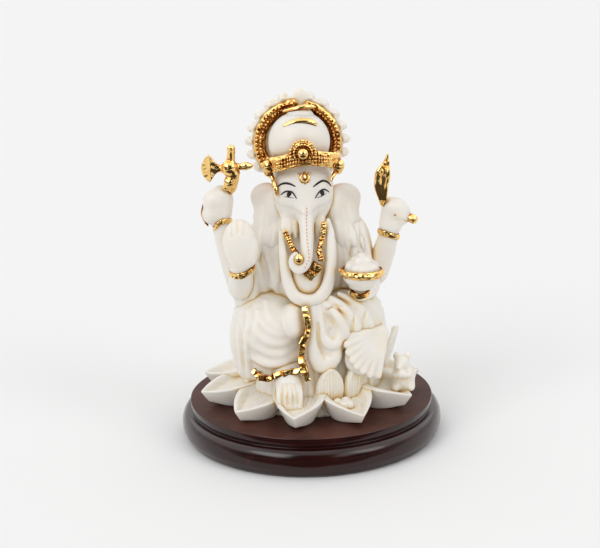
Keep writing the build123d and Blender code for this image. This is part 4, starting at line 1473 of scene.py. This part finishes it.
def make_ear_resin():
    """The same resin with a blush of pink sprayed on the tops of the ears."""
    finish, colour = resin_finish("ear")
    home = Spot("right_ear")
    parts = finish.node("ShaderNodeSeparateXYZ", {"Vector": finish.place()})
    height = finish.range(parts.outputs["Z"], home(0, 0, 4.0)[2] * MM, home(0, 0, 9.0)[2] * MM, 0.0, 0.4)
    spread = finish.maths("ABSOLUTE", finish.maths("ADD", parts.outputs["X"], 0.0012))
    sides = finish.range(spread, 0.017, 0.0125, 0.0, 1.0)
    blush = finish.maths("MULTIPLY", height, sides)
    finish.base(finish.mix(blush, colour, (0.78, 0.33, 0.25)))


def make_gilt():
    finish = Finish("gilt", Metallic=1.0, Roughness=0.13)
    # painted shade: the gold darkens to deep brown and near black in the creases; the noise adds the
    # gilding's own uneven tone. The same mix makes the creases rougher.
    shade_and_tone = finish.maths("ADD", finish.range(finish.crease_shade(), 0.03, 0.43, 0.0, 0.85),
                        finish.range(finish.noise(380.0), 0.35, 0.75, -0.14, 0.16))
    colour = finish.ramp(shade_and_tone, [
        (0.0, (0.98, 0.67, 0.25)), (0.2, (0.91, 0.43, 0.10)), (0.48, (0.50, 0.155, 0.022)),
        (0.88, (0.10, 0.025, 0.006))])
    finish.base(colour)
    finish.feed(finish.shader.inputs["Roughness"], finish.range(shade_and_tone, 0.0, 0.7, 0.1, 0.36))
    finish.bump(finish.noise(1300.0, 3.0), 0.13, 0.00016)


def make_lacquer():
    """Dark mahogany lacquer: glossy on the moulding, duller and dusty on the tread."""
    finish = Finish("lacquer", Roughness=0.22, IOR=1.5, Coat_Weight=0.6, Coat_Roughness=0.12)
    box = Spot("plinth")
    place = finish.place()
    parts = finish.node("ShaderNodeSeparateXYZ", {"Vector": place})
    mapping = finish.node("ShaderNodeMapping", {"Vector": place, "Scale": (1.0, 14.0, 6.0)})
    stretched = mapping.outputs["Vector"]
    grain = finish.noise(46.0, 6.0, stretched)
    wood = finish.ramp(grain, [(0.3, (0.008, 0.0009, 0.0007)), (0.62, (0.022, 0.0024, 0.0018)),
                               (0.8, (0.05, 0.007, 0.0045))])
    tread = finish.range(parts.outputs["Z"], (box.high[2] - 0.4) * MM, (box.high[2] - 0.1) * MM, 0.0, 1.0)
    specks = finish.range(finish.noise(1900.0, 2.0), 0.68, 0.76, 0.0, 0.35)
    haze = finish.range(finish.noise(60.0, 5.0), 0.35, 0.75, 0.10, 0.36)
    dust = finish.maths("MULTIPLY", finish.maths("ADD", specks, haze), finish.range(tread, 0, 1, 0.04, 1.0))
    finish.base(finish.mix(dust, wood, (0.27, 0.11, 0.075)))
    finish.feed(finish.shader.inputs["Roughness"], finish.range(tread, 0, 1, 0.2, 0.46))
    finish.feed(finish.shader.inputs["Specular IOR Level"], finish.range(tread, 0, 1, 0.28, 0.16))
    finish.feed(finish.shader.inputs["Coat Weight"], finish.range(tread, 0, 1, 0.4, 0.0))
    finish.bump(finish.noise(30.0, 4.0, stretched), 0.12, 0.0004)


def make_paints():
    black = Finish("black_paint", Roughness=0.6)
    black.shader.inputs["Specular IOR Level"].default_value = 0.2
    black.base(black.ramp(black.noise(900.0), [(0.3, (0.012, 0.011, 0.01)), (0.8, (0.05, 0.045, 0.04))]))
    red = Finish("red_paint", Roughness=0.5)
    red.base(red.ramp(red.noise(900.0), [(0.3, (0.70, 0.24, 0.17)), (0.8, (0.80, 0.42, 0.32))]))


def make_felt_and_steel():
    felt = Finish("felt", Roughness=0.95, Sheen_Weight=0.4)
    felt.base(felt.ramp(felt.noise(1200.0, 5.0), [(0.3, (0.01, 0.03, 0.017)), (0.7, (0.03, 0.07, 0.04))]))
    felt.bump(felt.noise(2500.0, 5.0), 0.6, 0.0006)
    steel = Finish("steel", Metallic=1.0, Roughness=0.35)
    steel.base(steel.ramp(steel.noise(600.0), [(0.3, (0.42, 0.42, 0.43)), (0.7, (0.6, 0.6, 0.6))]))


# ---- floor, light and camera ---------------------------------------------------------------------
SOFTBOXES = (      # name, direction it shines from, width in degrees, power
    ("left_softbox", (-0.7, -0.8, 0.8), 34.0, 0.78),
    ("right_softbox", (0.8, -0.6, 0.6), 28.0, 0.42),
    ("top_softbox", (0.0, 0.3, 1.0), 60.0, 0.2),
)
EYE = (-3.0, -579.7, 226.9)       # the camera's place from the middle of the plinth, in millimetres
EYE_TILT, EYE_ROLL = 73.489, -1.528
LENS, SENSOR = 96.0, 36.0


def make_floor():
    low = cad_bounds[0][2]
    finish = Finish("floor", Roughness=0.75)
    finish.shader.inputs["Specular IOR Level"].default_value = 0.0
    finish.base(finish.ramp(finish.noise(3.0), [(0.3, (0.9, 0.9, 0.9)), (0.7, (0.91, 0.91, 0.91))]))
    bpy.ops.mesh.primitive_plane_add(size=9.0, location=(0, 0, low))
    floor = bpy.context.object
    floor.name = "floor"
    floor.data.materials.append(finish.material)


def softbox(name, way, spread, power):
    """A lamp that shines from the direction way, spread degrees wide, evenly over the whole floor."""
    light = bpy.data.lights.new(name, "SUN")
    light.energy = power
    light.angle = math.radians(spread)
    lamp = bpy.data.objects.new(name, light)
    bpy.context.scene.collection.objects.link(lamp)
    lamp.rotation_euler = Vector(way).to_track_quat("Z", "Y").to_euler()


def studio_world():
    """Pale walls all round. Mirror-like surfaces see a dark front room with two bright panels in it."""
    studio = bpy.context.scene.world or bpy.data.worlds.new("studio")
    bpy.context.scene.world = studio
    studio.use_nodes = True
    nodes = Nodes(studio.node_tree)
    place = nodes.node("ShaderNodeTexCoord").outputs["Generated"]
    way = nodes.node("ShaderNodeSeparateXYZ", {"Vector": place}).outputs
    # Diffuse light comes from the walls. Reflections show the room, two panels and the ceiling.
    walls = nodes.range(way["Y"], -0.8, 0.4, 0.66, 0.76)
    room = nodes.range(way["Y"], -0.6, 0.15, 0.03, 0.85)
    high_up = nodes.range(way["Z"], 0.22, 0.38, 0.0, 1.5)
    at_sides = nodes.range(nodes.maths("ABSOLUTE", way["X"]), 0.28, 0.4, 0.0, 1.0)
    panels = nodes.maths("MULTIPLY", high_up, at_sides)
    ceiling = nodes.range(way["Z"], 0.62, 0.78, 0.0, 1.0)
    seen = nodes.maths("MAXIMUM", room, nodes.maths("MAXIMUM", panels, ceiling))
    glossy = nodes.node("ShaderNodeLightPath").outputs["Is Glossy Ray"]
    mix = nodes.node("ShaderNodeMix", {"Factor": glossy, "A": walls, "B": seen})
    background = studio.node_tree.nodes["Background"]
    nodes.feed(background.inputs["Strength"], mix.outputs["Result"])
    background.inputs["Color"].default_value = (1, 1, 1, 1)


def black_card():
    """A dark sheet on the floor in front of the plinth, hidden from the camera but not from reflections."""
    low = cad_bounds[0][2]
    finish = Finish("black_card", Roughness=0.9)
    finish.base(finish.ramp(finish.noise(3.0), [(0.3, (0.024, 0.017, 0.012)), (0.7, (0.03, 0.021, 0.015))]))
    near = Spot("plinth").low[1] * MM - 0.008
    bpy.ops.mesh.primitive_plane_add(size=1.2, location=(0, near - 0.6, low + 0.0005))
    card = bpy.context.object
    card.scale = (0.34, 1.0, 1.0)
    card.name = "black_card"
    card.data.materials.append(finish.material)
    card.visible_camera = False
    card.visible_diffuse = False
    card.visible_shadow = False


def light_and_camera():
    for name, way, spread, power in SOFTBOXES:
        softbox(name, way, spread, power)
    studio_world()
    camera = bpy.data.cameras.new("camera")
    camera.lens = LENS
    camera.sensor_width = SENSOR
    camera.clip_end = 20.0
    eye = bpy.data.objects.new("camera", camera)
    bpy.context.scene.collection.objects.link(eye)
    place = Matrix.Translation(Spot("plinth")(*EYE) * MM)
    tilt = Matrix.Rotation(math.radians(EYE_TILT), 4, "X")
    roll = Matrix.Rotation(math.radians(EYE_ROLL), 4, "Z")
    eye.matrix_world = place @ tilt @ roll
    bpy.context.scene.camera = eye
    bpy.context.scene.view_settings.view_transform = "Standard"


def make_finishes():
    make_resin()
    make_ear_resin()
    make_gilt()
    make_lacquer()
    make_paints()
    make_felt_and_steel()


def make_figure():
    """The white figure. Gives the clay of the head, which the painted lines are pressed on."""
    head = make_head()
    make_ears(make_torso())
    make_shawl()
    make_right_leg()
    make_left_leg()
    make_foot()
    make_sash_fan()
    make_right_rear_arm()
    make_left_rear_arm()
    make_right_front_arm()
    make_left_front_arm()
    return head


def make_held_things():
    make_axe()
    make_goad()
    make_bowl()
    make_bowl_rim()
    make_bowl_sweets()


def make_crown():
    make_crown_dome()
    make_crown_knob()
    make_crown_rings()
    make_crown_band()
    make_crown_medallion()
    make_crown_side_ornaments()


def make_trim(head):
    make_bangles()
    make_aura_plate()
    make_aura_ring()
    make_crown()
    make_tilak(head)
    make_necklace()
    make_pendant()
    make_trunk_sweet()
    make_hem()


def make_lotus():
    make_outer_petals()
    make_inner_petals()
    make_lotus_core()
    make_mouse()
    make_petal_offering()


def main():
    make_finishes()
    head = make_figure()
    make_held_things()
    make_trim(head)
    make_lotus()
    make_eyes(head)
    make_trunk_line(head)
    make_pieces()
    make_plinth()
    make_hidden_parts()
    make_floor()
    black_card()
    light_and_camera()


main()
